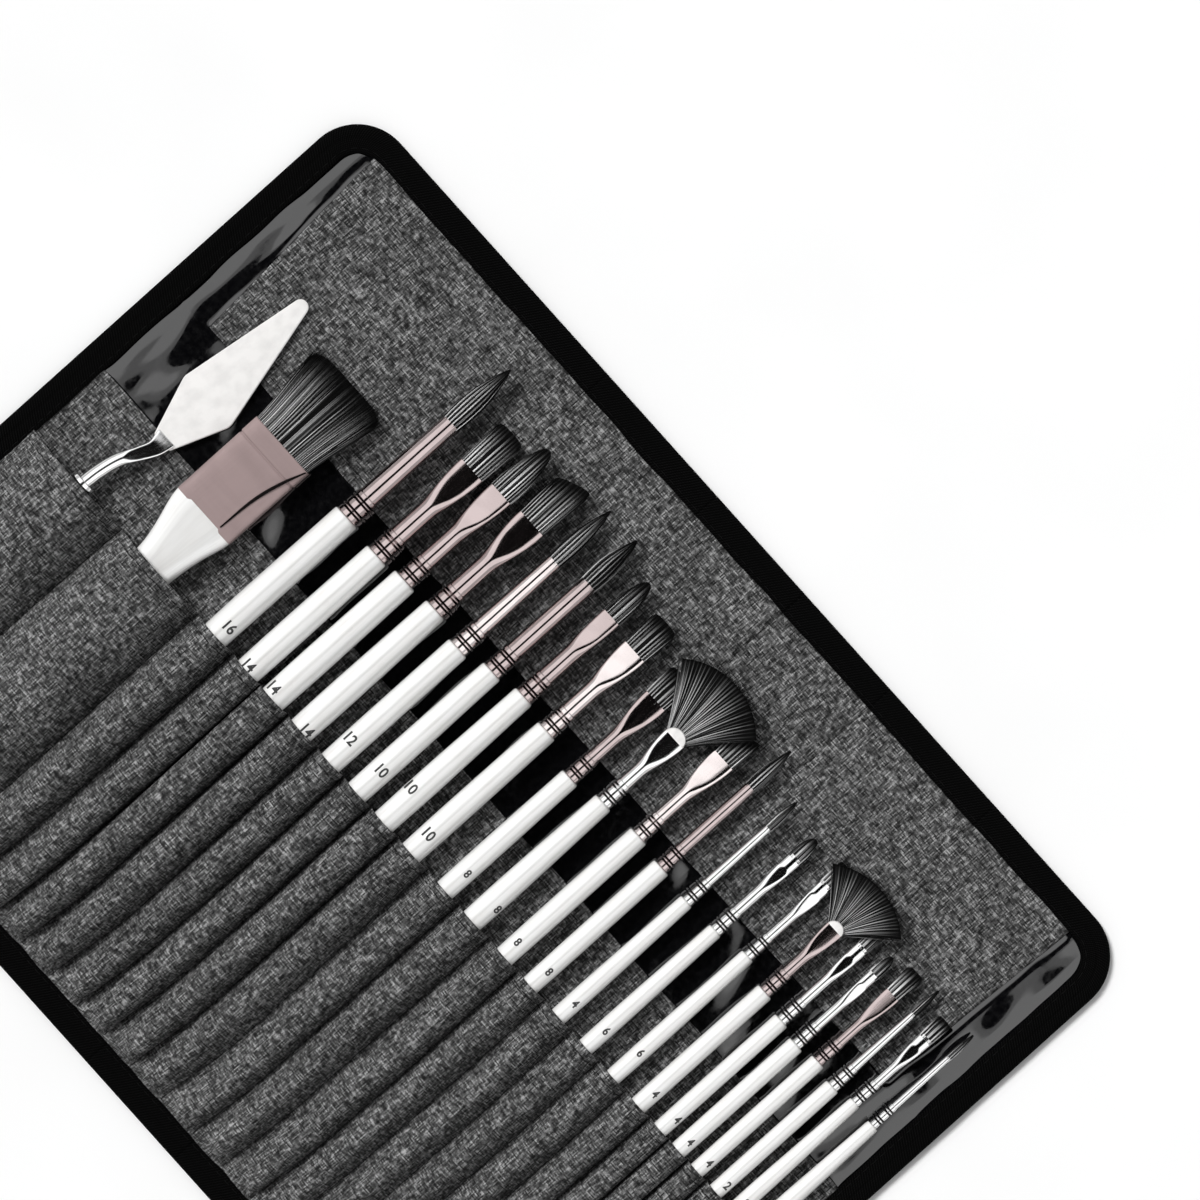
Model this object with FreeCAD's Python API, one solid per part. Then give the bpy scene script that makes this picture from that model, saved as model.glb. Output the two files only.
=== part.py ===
"""Brush roll case, opened flat: a cloth case with an edge binding, a flap for the brush tips and a stitched
pocket for each tool, filled with a palette knife, a wash brush and a graded set of artist's brushes.

Millimetres. X runs along the case's width, +Y towards the brush tips, +Z up. The origin is at the middle of
the underside. The case is cut into panels along the lines where it folds, so that it can roll up.
"""

import FreeCAD, Part
import os
from collections import namedtuple

Vector = FreeCAD.Vector

# The opened case
CASE_WIDTH = 400.0
CASE_DEPTH = 293.0
CORNER_RADIUS = 20.0
BINDING_WIDTH = 10.0
TAPE = 0.6  # thickness of the binding tape
SHELL = 1.2  # thickness of the outer cloth with its glossy lining film
CLOTH = 0.6  # thickness of the flap and of the rear wall of the pockets
FRONT_CLOTH = 0.55  # thickness of the front wall of the pockets

# The lines along Y where the case folds as it is rolled up
FOLD_LINES = (-105.7, -43.6, 12.9, 59.9, 102.1, 157.1)
FOLD_GAP = 0.4

# Edges across the case
FLAP_EDGE_Y = 55.0
REAR_WALL_Y = 18.0
FRONT_WALL_Y = -14.0
FLAP_TOP_X = (-182.7, 177.8)
FLAP_EDGE_X = (-176.5, 173.0)
SEAM_ALLOWANCE = 2.0  # how far short of the outer edge the flap's and rear wall's cloth ends

# Heights of the layers
SHELL_Z = TAPE
CLOTH_Z = SHELL_Z + SHELL
WALL_TOP_Z = CLOTH_Z + CLOTH
BINDING_TOP_Z = WALL_TOP_Z + TAPE
TOOL_Z = BINDING_TOP_Z + 0.4  # lowest point of every tool, clear of the binding that it slides over

# Tools in their pockets
POCKET_PLAY = 0.35
POCKET_FOOT = 2.5  # from the binding's inner edge to the closed foot of each pocket
HANDLE_FOOT_Y = -130.0
HAIR_TIP_THICKNESS = 0.7
FAN_THICKNESS = 1.5
FAN_TILT_DEG = 14.0

# A brush: x of its axis, y of the hair's tip, of the ferrule's mouth and of its other end, the ferrule's width
# at the mouth and diameter at the handle, and the handle's diameter at the ferrule and at its thickest
Brush = namedtuple("Brush", "name x tip_y mouth_y collar_y mouth collar neck handle")
BRUSHES = (
    Brush("round_16", -95.7, 122.5, 95.0, 46.6, 7.2, 8.3, 10.4, 10.9),
    Brush("flat_14", -79.0, 108.3, 89.4, 45.5, 10.9, 7.6, 9.6, 10.4),
    Brush("filbert_14", -66.1, 113.9, 91.4, 46.9, 10.0, 6.9, 9.9, 10.7),
    Brush("angle_14", -51.6, 115.2, 92.5, 48.0, 12.0, 7.5, 9.2, 10.4),
    Brush("round_12", -36.6, 115.6, 89.7, 44.9, 5.8, 7.1, 8.9, 9.2),
    Brush("round_10", -22.9, 115.6, 93.2, 48.3, 6.5, 6.9, 8.5, 9.3),
    Brush("filbert_10", -9.1, 109.0, 91.4, 50.7, 7.8, 6.7, 8.3, 9.6),
    Brush("flat_10", 5.0, 104.2, 89.4, 48.6, 10.2, 6.7, 8.5, 9.2),
    Brush("flat_8", 22.4, 96.3, 83.5, 43.8, 9.6, 5.4, 7.5, 8.1),
    Brush("fan_8", 36.4, 110.1, 80.0, 46.6, 8.9, 5.6, 7.5, 9.0),
    Brush("angle_8", 53.1, 100.7, 87.3, 48.0, 9.6, 5.5, 7.8, 8.1),
    Brush("round_8", 66.4, 106.6, 88.0, 46.6, 4.5, 4.7, 7.2, 7.4),
    Brush("round_4", 80.9, 96.6, 83.1, 45.2, 3.0, 4.2, 5.5, 6.8),
    Brush("filbert_6", 95.0, 92.8, 83.5, 45.9, 5.5, 4.6, 5.6, 6.7),
    Brush("flat_6", 109.0, 94.5, 85.2, 48.3, 5.3, 4.0, 5.5, 6.4),
    Brush("fan_4", 122.1, 99.4, 77.3, 44.5, 6.9, 4.6, 6.6, 6.9),
    Brush("flat_4", 133.3, 88.0, 80.0, 42.1, 5.1, 4.2, 6.2, 6.3),
    Brush("filbert_4", 142.8, 85.2, 76.6, 40.4, 4.2, 4.0, 6.3, 6.6),
    Brush("flat_4_short", 152.3, 88.0, 76.6, 42.1, 6.1, 4.0, 6.0, 6.1),
    Brush("round_2", 162.0, 89.4, 77.6, 40.0, 2.5, 4.4, 5.9, 6.1),
    Brush("flat_2", 171.3, 84.2, 75.6, 42.1, 5.4, 3.8, 4.6, 6.3),
    Brush("liner_1", 181.3, 88.0, 76.6, 41.4, 2.3, 3.1, 4.8, 6.6),
)
FAN_HALF_SPREAD = {"fan_8": 21.0, "fan_4": 19.7}
FAN_SIDE_RISE = {"fan_8": 21.0, "fan_4": 14.7}
ANGLE_DROP = {"angle_14": 5.0, "angle_8": 4.0}  # how much lower the left corner of the slanted hair is

# The wash brush, whose ferrule and handle are flattened
WASH_X = -128.9
WASH_HANDLE_X = -127.8
WASH_TIP_Y = 79.4
WASH_MOUTH_Y = 46.7
WASH_COLLAR_Y = 11.0
WASH_TIP_WIDTH = 33.5
WASH_WIDTH = 26.5
WASH_GRIP_WIDTH = 16.6
WASH_FOOT_WIDTH = 13.0
WASH_THICKNESS = 9.0
WASH_POCKET = (-144.5, -107.5)
WASH_POCKET_RISE = 12.5

# The palette knife: a cranked shank carries the blade low, to the right of the handle
KNIFE_X = -164.9
KNIFE_HANDLE = 10.6
KNIFE_RING = 9.3
KNIFE_RING_Y = (-15.0, -12.0)
BLADE_TIP = (-161.4, 88.0)
BLADE_ROOT_X = -157.8
BLADE_ROOT_Y = 16.2
BLADE_SHOULDER_Y = 37.0
BLADE_WIDTH = 23.8
BLADE_ROOT_WIDTH = 7.6
BLADE_TIP_RADIUS = 2.6
BLADE_THICKNESS = 0.8
BLADE_Z = TOOL_Z + 0.6
SHANK = 4.4
KNIFE_POCKET = (-186.0, -146.0)
KNIFE_POCKET_RISE = 13.0

REACH = 500.0  # longer than the case in any direction


def prism(outline, direction):
    """A solid swept from a closed outline of edges along a vector."""
    return Part.Face(Part.Wire(outline)).extrude(direction)


def lines(points, close=True):
    """Straight edges through the points."""
    points = [Vector(*p) for p in points]
    ends = points[1:] + points[:1] if close else points[1:]
    return [Part.LineSegment(a, b).toShape() for a, b in zip(points, ends)]


def arc(a, middle, b):
    """The arc's edge from a to b through middle."""
    return Part.Arc(Vector(*a), Vector(*middle), Vector(*b)).toShape()


def turned(profile, x, z):
    """A solid of revolution about an axis along Y, from the (radius, y) points of its profile."""
    points = [(0, profile[0][1], 0)] + [(r, y, 0) for r, y in profile] + [(0, profile[-1][1], 0)]
    solid = Part.Face(Part.Wire(lines(points))).revolve(Vector(), Vector(0, 1, 0), 360)
    solid.translate(Vector(x, 0, z))
    return solid


def oval(x, y, z, width, thickness):
    """A closed oval outline square to Y."""
    if abs(width - thickness) < 0.05:
        return Part.Wire(Part.Circle(Vector(x, y, z), Vector(0, 1, 0), width / 2).toShape())
    long_end, short_end = Vector(x + width / 2, y, z), Vector(x, y, z + thickness / 2)
    return Part.Wire(Part.Ellipse(long_end, short_end, Vector(x, y, z)).toShape())


def flattened(x, z, sections):
    """A solid with straight sides through ovals of the given (y, width, thickness)."""
    solid, ruled = True, True
    return Part.makeLoft([oval(x, y, z, w, t) for y, w, t in sections], solid, ruled)


# ------------------------------------------------------------------------------------------------ the case


def rounded_plate(inset, z_low, z_high):
    """The case's outline, drawn in by inset, as a plate."""
    width, depth = CASE_WIDTH - 2 * inset, CASE_DEPTH - 2 * inset
    plate = Part.makeBox(width, depth, z_high - z_low, Vector(-width / 2, -depth / 2, z_low))
    upright = [e for e in plate.Edges if abs(e.tangentAt(e.FirstParameter).z) > 0.9]
    return plate.makeFillet(CORNER_RADIUS - inset, upright)


def panel_slab(number):
    """All the space over one panel, short of its fold lines by half the gap."""
    sides = (-REACH,) + FOLD_LINES + (REACH,)
    low, high = sides[number - 1] + FOLD_GAP / 2, sides[number] - FOLD_GAP / 2
    return Part.makeBox(high - low, 2 * REACH, REACH, Vector(low, -REACH, -1))


def outer_shell():
    return rounded_plate(TAPE, SHELL_Z, CLOTH_Z)


def edge_binding():
    """Tape folded over the edge of every layer, open towards the middle of the case."""
    tape = rounded_plate(0, 0, BINDING_TOP_Z)
    window = rounded_plate(BINDING_WIDTH, -1, BINDING_TOP_Z + 1)
    layers = rounded_plate(TAPE, SHELL_Z, WALL_TOP_Z)
    return tape.cut(window).cut(layers)


def tip_flap():
    """The flap that is sewn into the top binding and lies open, flat under the brush heads."""
    top_y = CASE_DEPTH / 2 - SEAM_ALLOWANCE
    corners = [
        (FLAP_TOP_X[0], top_y, CLOTH_Z),
        (FLAP_EDGE_X[0], FLAP_EDGE_Y, CLOTH_Z),
        (FLAP_EDGE_X[1], FLAP_EDGE_Y, CLOTH_Z),
        (FLAP_TOP_X[1], top_y, CLOTH_Z),
    ]
    return prism(lines(corners), Vector(0, 0, CLOTH))


def rear_wall():
    """The cloth behind the tools, caught in the binding on three sides."""
    sheet = rounded_plate(SEAM_ALLOWANCE, CLOTH_Z, WALL_TOP_Z)
    below = Part.makeBox(2 * REACH, REACH, REACH, Vector(-REACH, REAR_WALL_Y - REACH, -1))
    return sheet.common(below)


def tunnel_outline(x, half, axis_z, y):
    """An upside-down U over a handle, standing on the rear wall."""
    left, right = x - half, x + half
    shoulders = (left, y, axis_z), (right, y, axis_z)
    feet = (left, y, WALL_TOP_Z), (right, y, WALL_TOP_Z)
    legs = lines([shoulders[1], feet[1], feet[0], shoulders[0]], False)
    return legs + [arc(shoulders[0], (x, y, axis_z + half), shoulders[1])]


def dome_outline(low, high, rise, thickness, y):
    """A low arch of cloth between two rows of stitches, pushed out by thickness along its radius."""
    half, x = (high - low) / 2, (high + low) / 2
    radius = (half * half + rise * rise) / (2 * rise)
    centre_z = WALL_TOP_Z + rise - radius
    radius += thickness
    foot = (radius**2 - (WALL_TOP_Z - centre_z) ** 2) ** 0.5
    left, right = (x - foot, y, WALL_TOP_Z), (x + foot, y, WALL_TOP_Z)
    return lines([right, left], False) + [arc(left, (x, y, centre_z + radius), right)]


def pockets_over(low, high):
    """Outlines of the pockets between two x's, as functions of the cloth outside their space and of y."""
    found = []
    for (left, right), rise in ((KNIFE_POCKET, KNIFE_POCKET_RISE), (WASH_POCKET, WASH_POCKET_RISE)):
        if low < left < high:
            found.append(lambda out, y, a=left, b=right, r=rise: dome_outline(a, b, r, out, y))
    for b in BRUSHES:
        if low < b.x < high:
            room = b.handle / 2 + POCKET_PLAY
            found.append(lambda out, y, b=b, room=room: tunnel_outline(b.x, room + out, axis_z(b), y))
    return found


def front_wall(number):
    """The cloth over one panel's tools, stitched down between them and closed at the foot."""
    sides = (-REACH,) + FOLD_LINES + (REACH,)
    low, high = sides[number - 1], sides[number]
    sheet = rounded_plate(BINDING_WIDTH, WALL_TOP_Z, WALL_TOP_Z + FRONT_CLOTH)
    below = Part.makeBox(high - low, REACH, REACH, Vector(low, FRONT_WALL_Y - REACH, -1))
    cloth = sheet.common(below)
    foot_y = -CASE_DEPTH / 2 + BINDING_WIDTH + POCKET_FOOT
    length = Vector(0, FRONT_WALL_Y - foot_y, 0)
    pockets = pockets_over(low, high)
    for outline in pockets:
        cloth = cloth.fuse(prism(outline(FRONT_CLOTH, foot_y), length))
    for outline in pockets:
        cloth = cloth.cut(prism(outline(0, foot_y + FRONT_CLOTH), length))
    return cloth


# ------------------------------------------------------------------------------------------------ the brushes


def axis_z(brush):
    """The height of a brush's axis, with the thickest part of its handle at the tools' lowest height."""
    return TOOL_Z + brush.handle / 2


def handle(b):
    """A turned handle that swells below the ferrule and tapers to a slim foot."""
    length = b.collar_y - HANDLE_FOOT_Y
    thick, neck = b.handle / 2, b.neck / 2
    profile = [
        (neck, b.collar_y),
        (thick, b.collar_y - 0.25 * length),
        (0.86 * thick, b.collar_y - 0.62 * length),
        (0.56 * thick, HANDLE_FOOT_Y + 3),
        (0.30 * thick, HANDLE_FOOT_Y),
    ]
    return turned(profile, b.x, axis_z(b))


def ferrule_thickness(b):
    """Thickness of the ferrule's mouth: round brushes keep theirs round, the rest are pressed flat."""
    if b.name.startswith(("round", "liner")):
        return b.mouth
    return 0.3 * b.collar + 0.8 if b.name.startswith("fan") else 0.5 * b.collar + 0.3


def ferrule(b):
    thickness = ferrule_thickness(b)
    length = b.mouth_y - b.collar_y
    sections = [
        (b.collar_y, b.collar, b.collar),
        (b.collar_y + 0.4 * length, (2 * b.collar + b.mouth) / 3, (2 * b.collar + thickness) / 3),
        (b.mouth_y, b.mouth, thickness),
    ]
    return flattened(b.x, axis_z(b), sections)


def pointed_hair(b):
    """Round hair with a slight belly and a fine point."""
    length, root = b.tip_y - b.mouth_y, 0.46 * b.mouth
    profile = [
        (root, b.mouth_y),
        (1.15 * root, b.mouth_y + 0.35 * length),
        (0.7 * root, b.mouth_y + 0.75 * length),
        (0.15, b.tip_y),
    ]
    return turned(profile, b.x, axis_z(b))


def hair_outline(b):
    """The front view of flat, filbert and angled hair, at the height of the brush's axis."""
    root, tip = 0.46 * b.mouth, 0.53 * b.mouth
    y, top, x = b.mouth_y, b.tip_y, b.x
    left, right = (x - root, y, 0), (x + root, y, 0)
    if b.name.startswith("filbert"):
        shoulder = top - 0.45 * (top - y)
        ends = (x - tip, shoulder, 0), (x + tip, shoulder, 0)
        return lines([ends[0], left, right, ends[1]], False) + [arc(ends[1], (x, top, 0), ends[0])]
    drop = ANGLE_DROP.get(b.name, 0.0)
    return lines([left, right, (x + tip, top, 0), (x - tip, top - drop, 0)])


def flat_hair(b):
    """Hair that thins from the ferrule's mouth to a chisel edge."""
    plate = prism(hair_outline(b), Vector(0, 0, REACH))
    plate.translate(Vector(0, 0, -REACH / 2))
    root, tip = 0.46 * ferrule_thickness(b), HAIR_TIP_THICKNESS / 2
    side = [(b.mouth_y, -root), (b.mouth_y, root), (b.tip_y, tip), (b.tip_y, -tip)]
    wedge = prism(lines([(-REACH, y, z) for y, z in side]), Vector(2 * REACH, 0, 0))
    hair = plate.common(wedge)
    hair.translate(Vector(0, 0, axis_z(b)))
    return hair


def fan_hair(b):
    """A thin fan of hair, tilted up so that it lies over its neighbours."""
    spread, rise, length = FAN_HALF_SPREAD[b.name], FAN_SIDE_RISE[b.name], b.tip_y - b.mouth_y
    root = 0.42 * b.mouth
    left, right = (-spread, rise, 0), (spread, rise, 0)
    outline = lines([left, (-root, 0, 0), (root, 0, 0), right], False) + [arc(right, (0, length, 0), left)]
    fan = prism(outline, Vector(0, 0, FAN_THICKNESS))
    fan.rotate(Vector(), Vector(1, 0, 0), FAN_TILT_DEG)
    fan.translate(Vector(b.x, b.mouth_y + 0.6, axis_z(b) - FAN_THICKNESS / 2 + 0.4))
    return fan


def brush_nodes(b):
    """A brush's node or nodes: a fan's hair is apart, because it bends as the brush moves."""
    body = [handle(b), ferrule(b)]
    if b.name.startswith("fan"):
        return {b.name: body, b.name + "_hair": [fan_hair(b)]}
    hair = pointed_hair(b) if b.name.startswith(("round", "liner")) else flat_hair(b)
    return {b.name: body + [hair]}


def wash_brush_nodes():
    z = TOOL_Z + WASH_THICKNESS / 2
    grip = [
        (WASH_COLLAR_Y, WASH_WIDTH, 0.8 * WASH_THICKNESS),
        (FRONT_WALL_Y, WASH_GRIP_WIDTH, WASH_THICKNESS),
        (0.5 * (FRONT_WALL_Y + HANDLE_FOOT_Y), WASH_GRIP_WIDTH - 1, WASH_THICKNESS),
        (HANDLE_FOOT_Y, WASH_FOOT_WIDTH, 0.6 * WASH_THICKNESS),
    ]
    band = [(WASH_COLLAR_Y, WASH_WIDTH, 7.6), (WASH_MOUTH_Y, WASH_WIDTH, 7.6)]
    hair = [(WASH_MOUTH_Y, WASH_WIDTH - 1, 6.8), (WASH_TIP_Y, WASH_TIP_WIDTH, 2.6)]
    return {
        "wash_brush_handle": [flattened(WASH_HANDLE_X, z, grip)],
        "wash_brush_ferrule": [flattened(WASH_X, z, band)],
        "wash_brush_hair": [flattened(WASH_X, z, hair)],
    }


# ------------------------------------------------------------------------------------------------ the knife


def knife_blade():
    """A trowel-shaped blade: a rounded tip, nearly straight flanks and round shoulders down to the shank."""
    x, y = BLADE_TIP
    half, root = BLADE_WIDTH / 2, BLADE_ROOT_WIDTH / 2
    middle = BLADE_ROOT_X
    r = BLADE_TIP_RADIUS
    tip_left, tip_right = (x - r, y - r, 0), (x + r, y - r, 0)
    left, right = (middle - half, BLADE_SHOULDER_Y, 0), (middle + half, BLADE_SHOULDER_Y, 0)
    root_left, root_right = (middle - root, BLADE_ROOT_Y, 0), (middle + root, BLADE_ROOT_Y, 0)
    bend_y = BLADE_ROOT_Y + 0.3 * (BLADE_SHOULDER_Y - BLADE_ROOT_Y)
    outline = lines([tip_left, left], False)
    outline.append(arc(left, (middle - 0.72 * half, bend_y, 0), root_left))
    outline += lines([root_left, root_right], False)
    outline.append(arc(root_right, (middle + 0.72 * half, bend_y, 0), right))
    outline += lines([right, tip_right], False)
    outline.append(arc(tip_right, (x, y, 0), tip_left))
    blade = prism(outline, Vector(0, 0, BLADE_THICKNESS))
    blade.translate(Vector(0, 0, BLADE_Z))
    return blade


def knife_shank():
    """The round steel bar that climbs from the blade to the ring on the handle."""
    start = Vector(BLADE_ROOT_X, BLADE_ROOT_Y + 2, BLADE_Z + 0.5 * SHANK)
    end = Vector(KNIFE_X, KNIFE_RING_Y[1], TOOL_Z + KNIFE_HANDLE / 2)
    bend = Vector(KNIFE_X, KNIFE_RING_Y[1] + 3, end.z)
    slope = Part.makeCylinder(SHANK / 2, (bend - start).Length, start, bend - start)
    stub = Part.makeCylinder(SHANK / 2, (end - bend).Length, bend, end - bend)
    knees = [Part.makeSphere(SHANK / 2, p) for p in (start, bend)]
    return slope.multiFuse([stub] + knees)


def knife_nodes():
    z = TOOL_Z + KNIFE_HANDLE / 2
    low, high = KNIFE_RING_Y
    ring = Part.makeCylinder(KNIFE_RING / 2, high - low, Vector(KNIFE_X, low, z), Vector(0, 1, 0))
    grip = [(0.42 * KNIFE_HANDLE, low), (KNIFE_HANDLE / 2, low - 30), (0.46 * KNIFE_HANDLE, low - 85)]
    grip += [(0.32 * KNIFE_HANDLE, HANDLE_FOOT_Y + 2), (0.2 * KNIFE_HANDLE, HANDLE_FOOT_Y)]
    return {
        "knife_blade": [knife_blade().fuse(knife_shank())],
        "knife_ring": [ring],
        "knife_handle": [turned(grip, KNIFE_X, z)],
    }


# ------------------------------------------------------------------------------------------------ all of it


def case_nodes():
    """The four layers of the case, each cut along the fold lines."""
    shell, binding, flap, rear = outer_shell(), edge_binding(), tip_flap(), rear_wall()
    nodes = {}
    for number in range(1, len(FOLD_LINES) + 2):
        slab = panel_slab(number)
        nodes[f"outer_shell_{number}"] = [shell.common(slab)]
        nodes[f"edge_binding_{number}"] = [binding.common(slab)]
        nodes[f"tip_flap_{number}"] = [flap.common(slab)]
        nodes[f"pocket_{number}"] = [rear.common(slab), front_wall(number).common(slab)]
    return nodes


def export(nodes):
    os.makedirs("parts", exist_ok=True)
    for name, shapes in nodes.items():
        solids = [solid for shape in shapes for solid in shape.Solids]
        Part.makeCompound(solids).exportStep(f"parts/{name}.step")


nodes = case_nodes()
nodes.update(knife_nodes())
nodes.update(wash_brush_nodes())
for brush in BRUSHES:
    nodes.update(brush_nodes(brush))
export(nodes)
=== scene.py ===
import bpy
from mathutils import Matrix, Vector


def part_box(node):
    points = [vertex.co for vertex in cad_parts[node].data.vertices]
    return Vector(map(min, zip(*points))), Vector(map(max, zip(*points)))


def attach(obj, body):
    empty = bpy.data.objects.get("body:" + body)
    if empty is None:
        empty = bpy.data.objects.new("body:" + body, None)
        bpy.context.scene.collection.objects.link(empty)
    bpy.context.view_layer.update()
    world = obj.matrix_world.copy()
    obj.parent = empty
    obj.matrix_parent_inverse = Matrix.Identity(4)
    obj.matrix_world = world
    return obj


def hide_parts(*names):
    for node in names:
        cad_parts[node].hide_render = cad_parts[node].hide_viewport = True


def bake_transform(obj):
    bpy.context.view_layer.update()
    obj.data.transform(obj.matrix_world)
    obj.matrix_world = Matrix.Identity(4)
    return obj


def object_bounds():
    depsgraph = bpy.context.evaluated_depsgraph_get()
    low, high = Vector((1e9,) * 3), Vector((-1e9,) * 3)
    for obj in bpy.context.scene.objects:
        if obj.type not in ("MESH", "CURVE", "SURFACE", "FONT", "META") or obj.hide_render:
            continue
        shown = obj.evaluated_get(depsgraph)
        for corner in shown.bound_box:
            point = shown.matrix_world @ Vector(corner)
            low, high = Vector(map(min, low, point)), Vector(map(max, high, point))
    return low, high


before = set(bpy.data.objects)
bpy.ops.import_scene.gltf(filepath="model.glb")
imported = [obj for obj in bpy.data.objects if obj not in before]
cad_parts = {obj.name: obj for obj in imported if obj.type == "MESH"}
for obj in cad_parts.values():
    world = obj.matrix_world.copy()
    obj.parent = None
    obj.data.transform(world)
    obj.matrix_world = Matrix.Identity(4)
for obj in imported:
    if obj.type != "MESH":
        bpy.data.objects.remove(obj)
CAD_BOX = [list(corner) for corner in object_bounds()]

import math
from collections import namedtuple

import bmesh
import bpy
import numpy as np

# Lengths here are in millimetres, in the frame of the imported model: X runs along the roll, Y towards the
# brush tips and Z up. Meshes are scaled to metres as they are made.
MM = 0.001
scene = bpy.context.scene


def millimetres(node):
    """A node's lowest and highest corners."""
    low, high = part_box(node)
    return np.array(low) / MM, np.array(high) / MM


def middle_and_half(box):
    """The middle of a box and half its size, each along X, Y and Z."""
    low, high = box
    return (low + high) / 2, (high - low) / 2


# --- the case's sizes

HALF_X, HALF_Y = CAD_BOX[1][0] / MM, CAD_BOX[1][1] / MM
CORNER = 20.0
TAPE_WIDTH = 10.0
PIECE_ENDS = (-72.6, -16.0, 29.2, 73.7, 127.8)   # rows of stitches where one cloth piece meets the next
FLAP_EDGE_Y = millimetres("tip_flap_3")[0][1]
FLAP_TOP_X = (millimetres("tip_flap_1")[0][0], millimetres("tip_flap_7")[1][0])
FLAP_EDGE_X = (FLAP_TOP_X[0] + 6.2, FLAP_TOP_X[1] - 4.8)
REAR_TOP_Y = millimetres("pocket_3")[1][1]
MOUTH_Y = -14.0
FOOT_Y = -138.5
WALL_TOP_Z = 2.4

SHELL_Z, SHELL_THICK = 0.92, 0.6
FILM_Z = 1.7
CLOTH_Z, CLOTH_THICK = 2.1, 0.5

# The stitched-down lines between the pockets, from left to right
VALLEYS = (
    -189.6, -145.1, -105.1, -87.5, -72.6, -58.8, -43.6, -29.8, -16.0, -1.9, 13.4, 29.2, 44.7, 59.9, 73.7,
    88.1, 101.9, 115.7, 127.8, 138.2, 147.5, 157.1, 166.8, 176.5, 188.2,
)

# name, mouth y, handle top y, mouth width, ferrule base, handle neck, ferrule finish,
# number on the handle, its y and its distance from the handle's axis
Brush = namedtuple("Brush", "name mouth_y top_y mouth base neck finish number number_y number_dx")
BRUSHES = [Brush(*row) for row in (
    ("round_16", 95.0, 46.6, 7.2, 8.3, 10.4, "rose", "16", -8.6, 1.4),
    ("flat_14", 89.4, 45.5, 10.9, 7.6, 9.6, "rose", "14", -12.4, -1.2),
    ("filbert_14", 91.4, 46.9, 10.0, 6.9, 9.9, "rose", "14", -11.1, -2.8),
    ("angle_14", 92.5, 48.0, 12.0, 7.5, 9.2, "rose", "14", -12.5, 1.4),
    ("round_12", 89.7, 44.9, 5.8, 7.1, 8.9, "pale", "12", -3.3, -1.7),
    ("round_10", 93.2, 48.3, 6.5, 6.9, 8.5, "rose", "10", -2.7, 0.0),
    ("filbert_10", 91.4, 50.7, 7.8, 6.7, 8.3, "rose", "10", 1.0, -2.9),
    ("flat_10", 89.4, 48.6, 10.2, 6.7, 8.5, "pale", "10", -5.2, -0.9),
    ("flat_8", 83.5, 43.8, 9.6, 5.4, 7.5, "rose", "8", -4.4, 1.0),
    ("fan_8", 80.0, 46.6, 8.9, 5.6, 7.5, "silver", "8", -4.9, 3.0),
    ("angle_8", 87.3, 48.0, 9.6, 5.5, 7.8, "pale", "8", -7.2, -0.8),
    ("round_8", 88.0, 46.6, 4.5, 4.7, 7.2, "rose", "8", -6.1, 0.8),
    ("round_4", 83.1, 45.2, 3.0, 4.2, 5.5, "silver", "4", -6.8, 0.5),
    ("filbert_6", 83.5, 45.9, 5.5, 4.6, 5.6, "silver", "6", -5.1, 0.5),
    ("flat_6", 85.2, 48.3, 5.3, 4.0, 5.5, "silver", "6", -1.4, 0.0),
    ("fan_4", 77.3, 44.5, 6.9, 4.6, 6.6, "rose", "4", -7.0, 0.8),
    ("flat_4", 80.0, 42.1, 5.1, 4.2, 6.2, "silver", "4", -7.3, 1.4),
    ("filbert_4", 76.6, 40.4, 4.2, 4.0, 6.3, "silver", "4", -9.1, 0.5),
    ("flat_4_short", 76.6, 42.1, 6.1, 4.0, 6.0, "rose", "4", -9.1, 0.8),
    ("round_2", 77.6, 40.0, 2.5, 4.4, 5.9, "silver", "2", -9.7, 1.0),
    ("flat_2", 75.6, 42.1, 5.4, 3.8, 4.6, "silver", "2", -9.0, 0.3),
    ("liner_1", 76.6, 41.4, 2.3, 3.1, 4.8, "silver", "1", -9.0, 0.3),
)]
# The ferrules that are pressed flat right up to the mouth
STAYING_FLAT = ("flat_14", "angle_14", "flat_8", "fan_8", "fan_4")
# How far, in degrees, some brushes have rolled over in their pockets. Below 0, the ferrule's flat faces left.
ROLL = {
    "filbert_14": -10, "filbert_10": -10, "flat_10": -9, "angle_8": -9, "filbert_6": -5, "flat_6": 5,
    "flat_4": -4, "filbert_4": 5, "flat_4_short": -10, "flat_2": -5,
}
ROUND = ("round", "liner")                       # how the names of round brushes start
ANGLE_DROP = {"angle_14": 5.0, "angle_8": 4.0}   # how much shorter a slanting tip is on its short side
FAN_RISE = {"fan_8": 21.0, "fan_4": 14.7}        # how far out a fan's side hairs end
HANDLE_FOOT_Y = millimetres("round_16")[0][1]


# --- numbers and meshes


def ease(t):
    """0 below 0, 1 above 1, and smooth in between."""
    t = np.clip(t, 0.0, 1.0)
    return t * t * (3 - 2 * t)


def ripple(x, y, size, seed):
    """Smooth random waves, about size long, mostly between -1 and 1."""
    rng = np.random.default_rng(seed)
    total = 0.0
    for _ in range(7):
        angle, phase = rng.uniform(0, 2 * math.pi, 2)
        wave = size * rng.uniform(0.6, 1.7)
        total = total + np.sin((x * math.cos(angle) + y * math.sin(angle)) * 2 * math.pi / wave + phase)
    return total / 3.2


def turns(count):
    """Even angles round a full turn."""
    return np.linspace(0, 2 * math.pi, count, endpoint=False)


def stacked(*parts):
    """Arrays of matching shapes as one array, with the parts as its last axis."""
    return np.stack(np.broadcast_arrays(*parts), -1)


def powered(value, power):
    """value to a power, with its sign kept. It turns a circle's cosine and sine into a squarer ring's."""
    return np.sign(value) * np.abs(value) ** power


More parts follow.
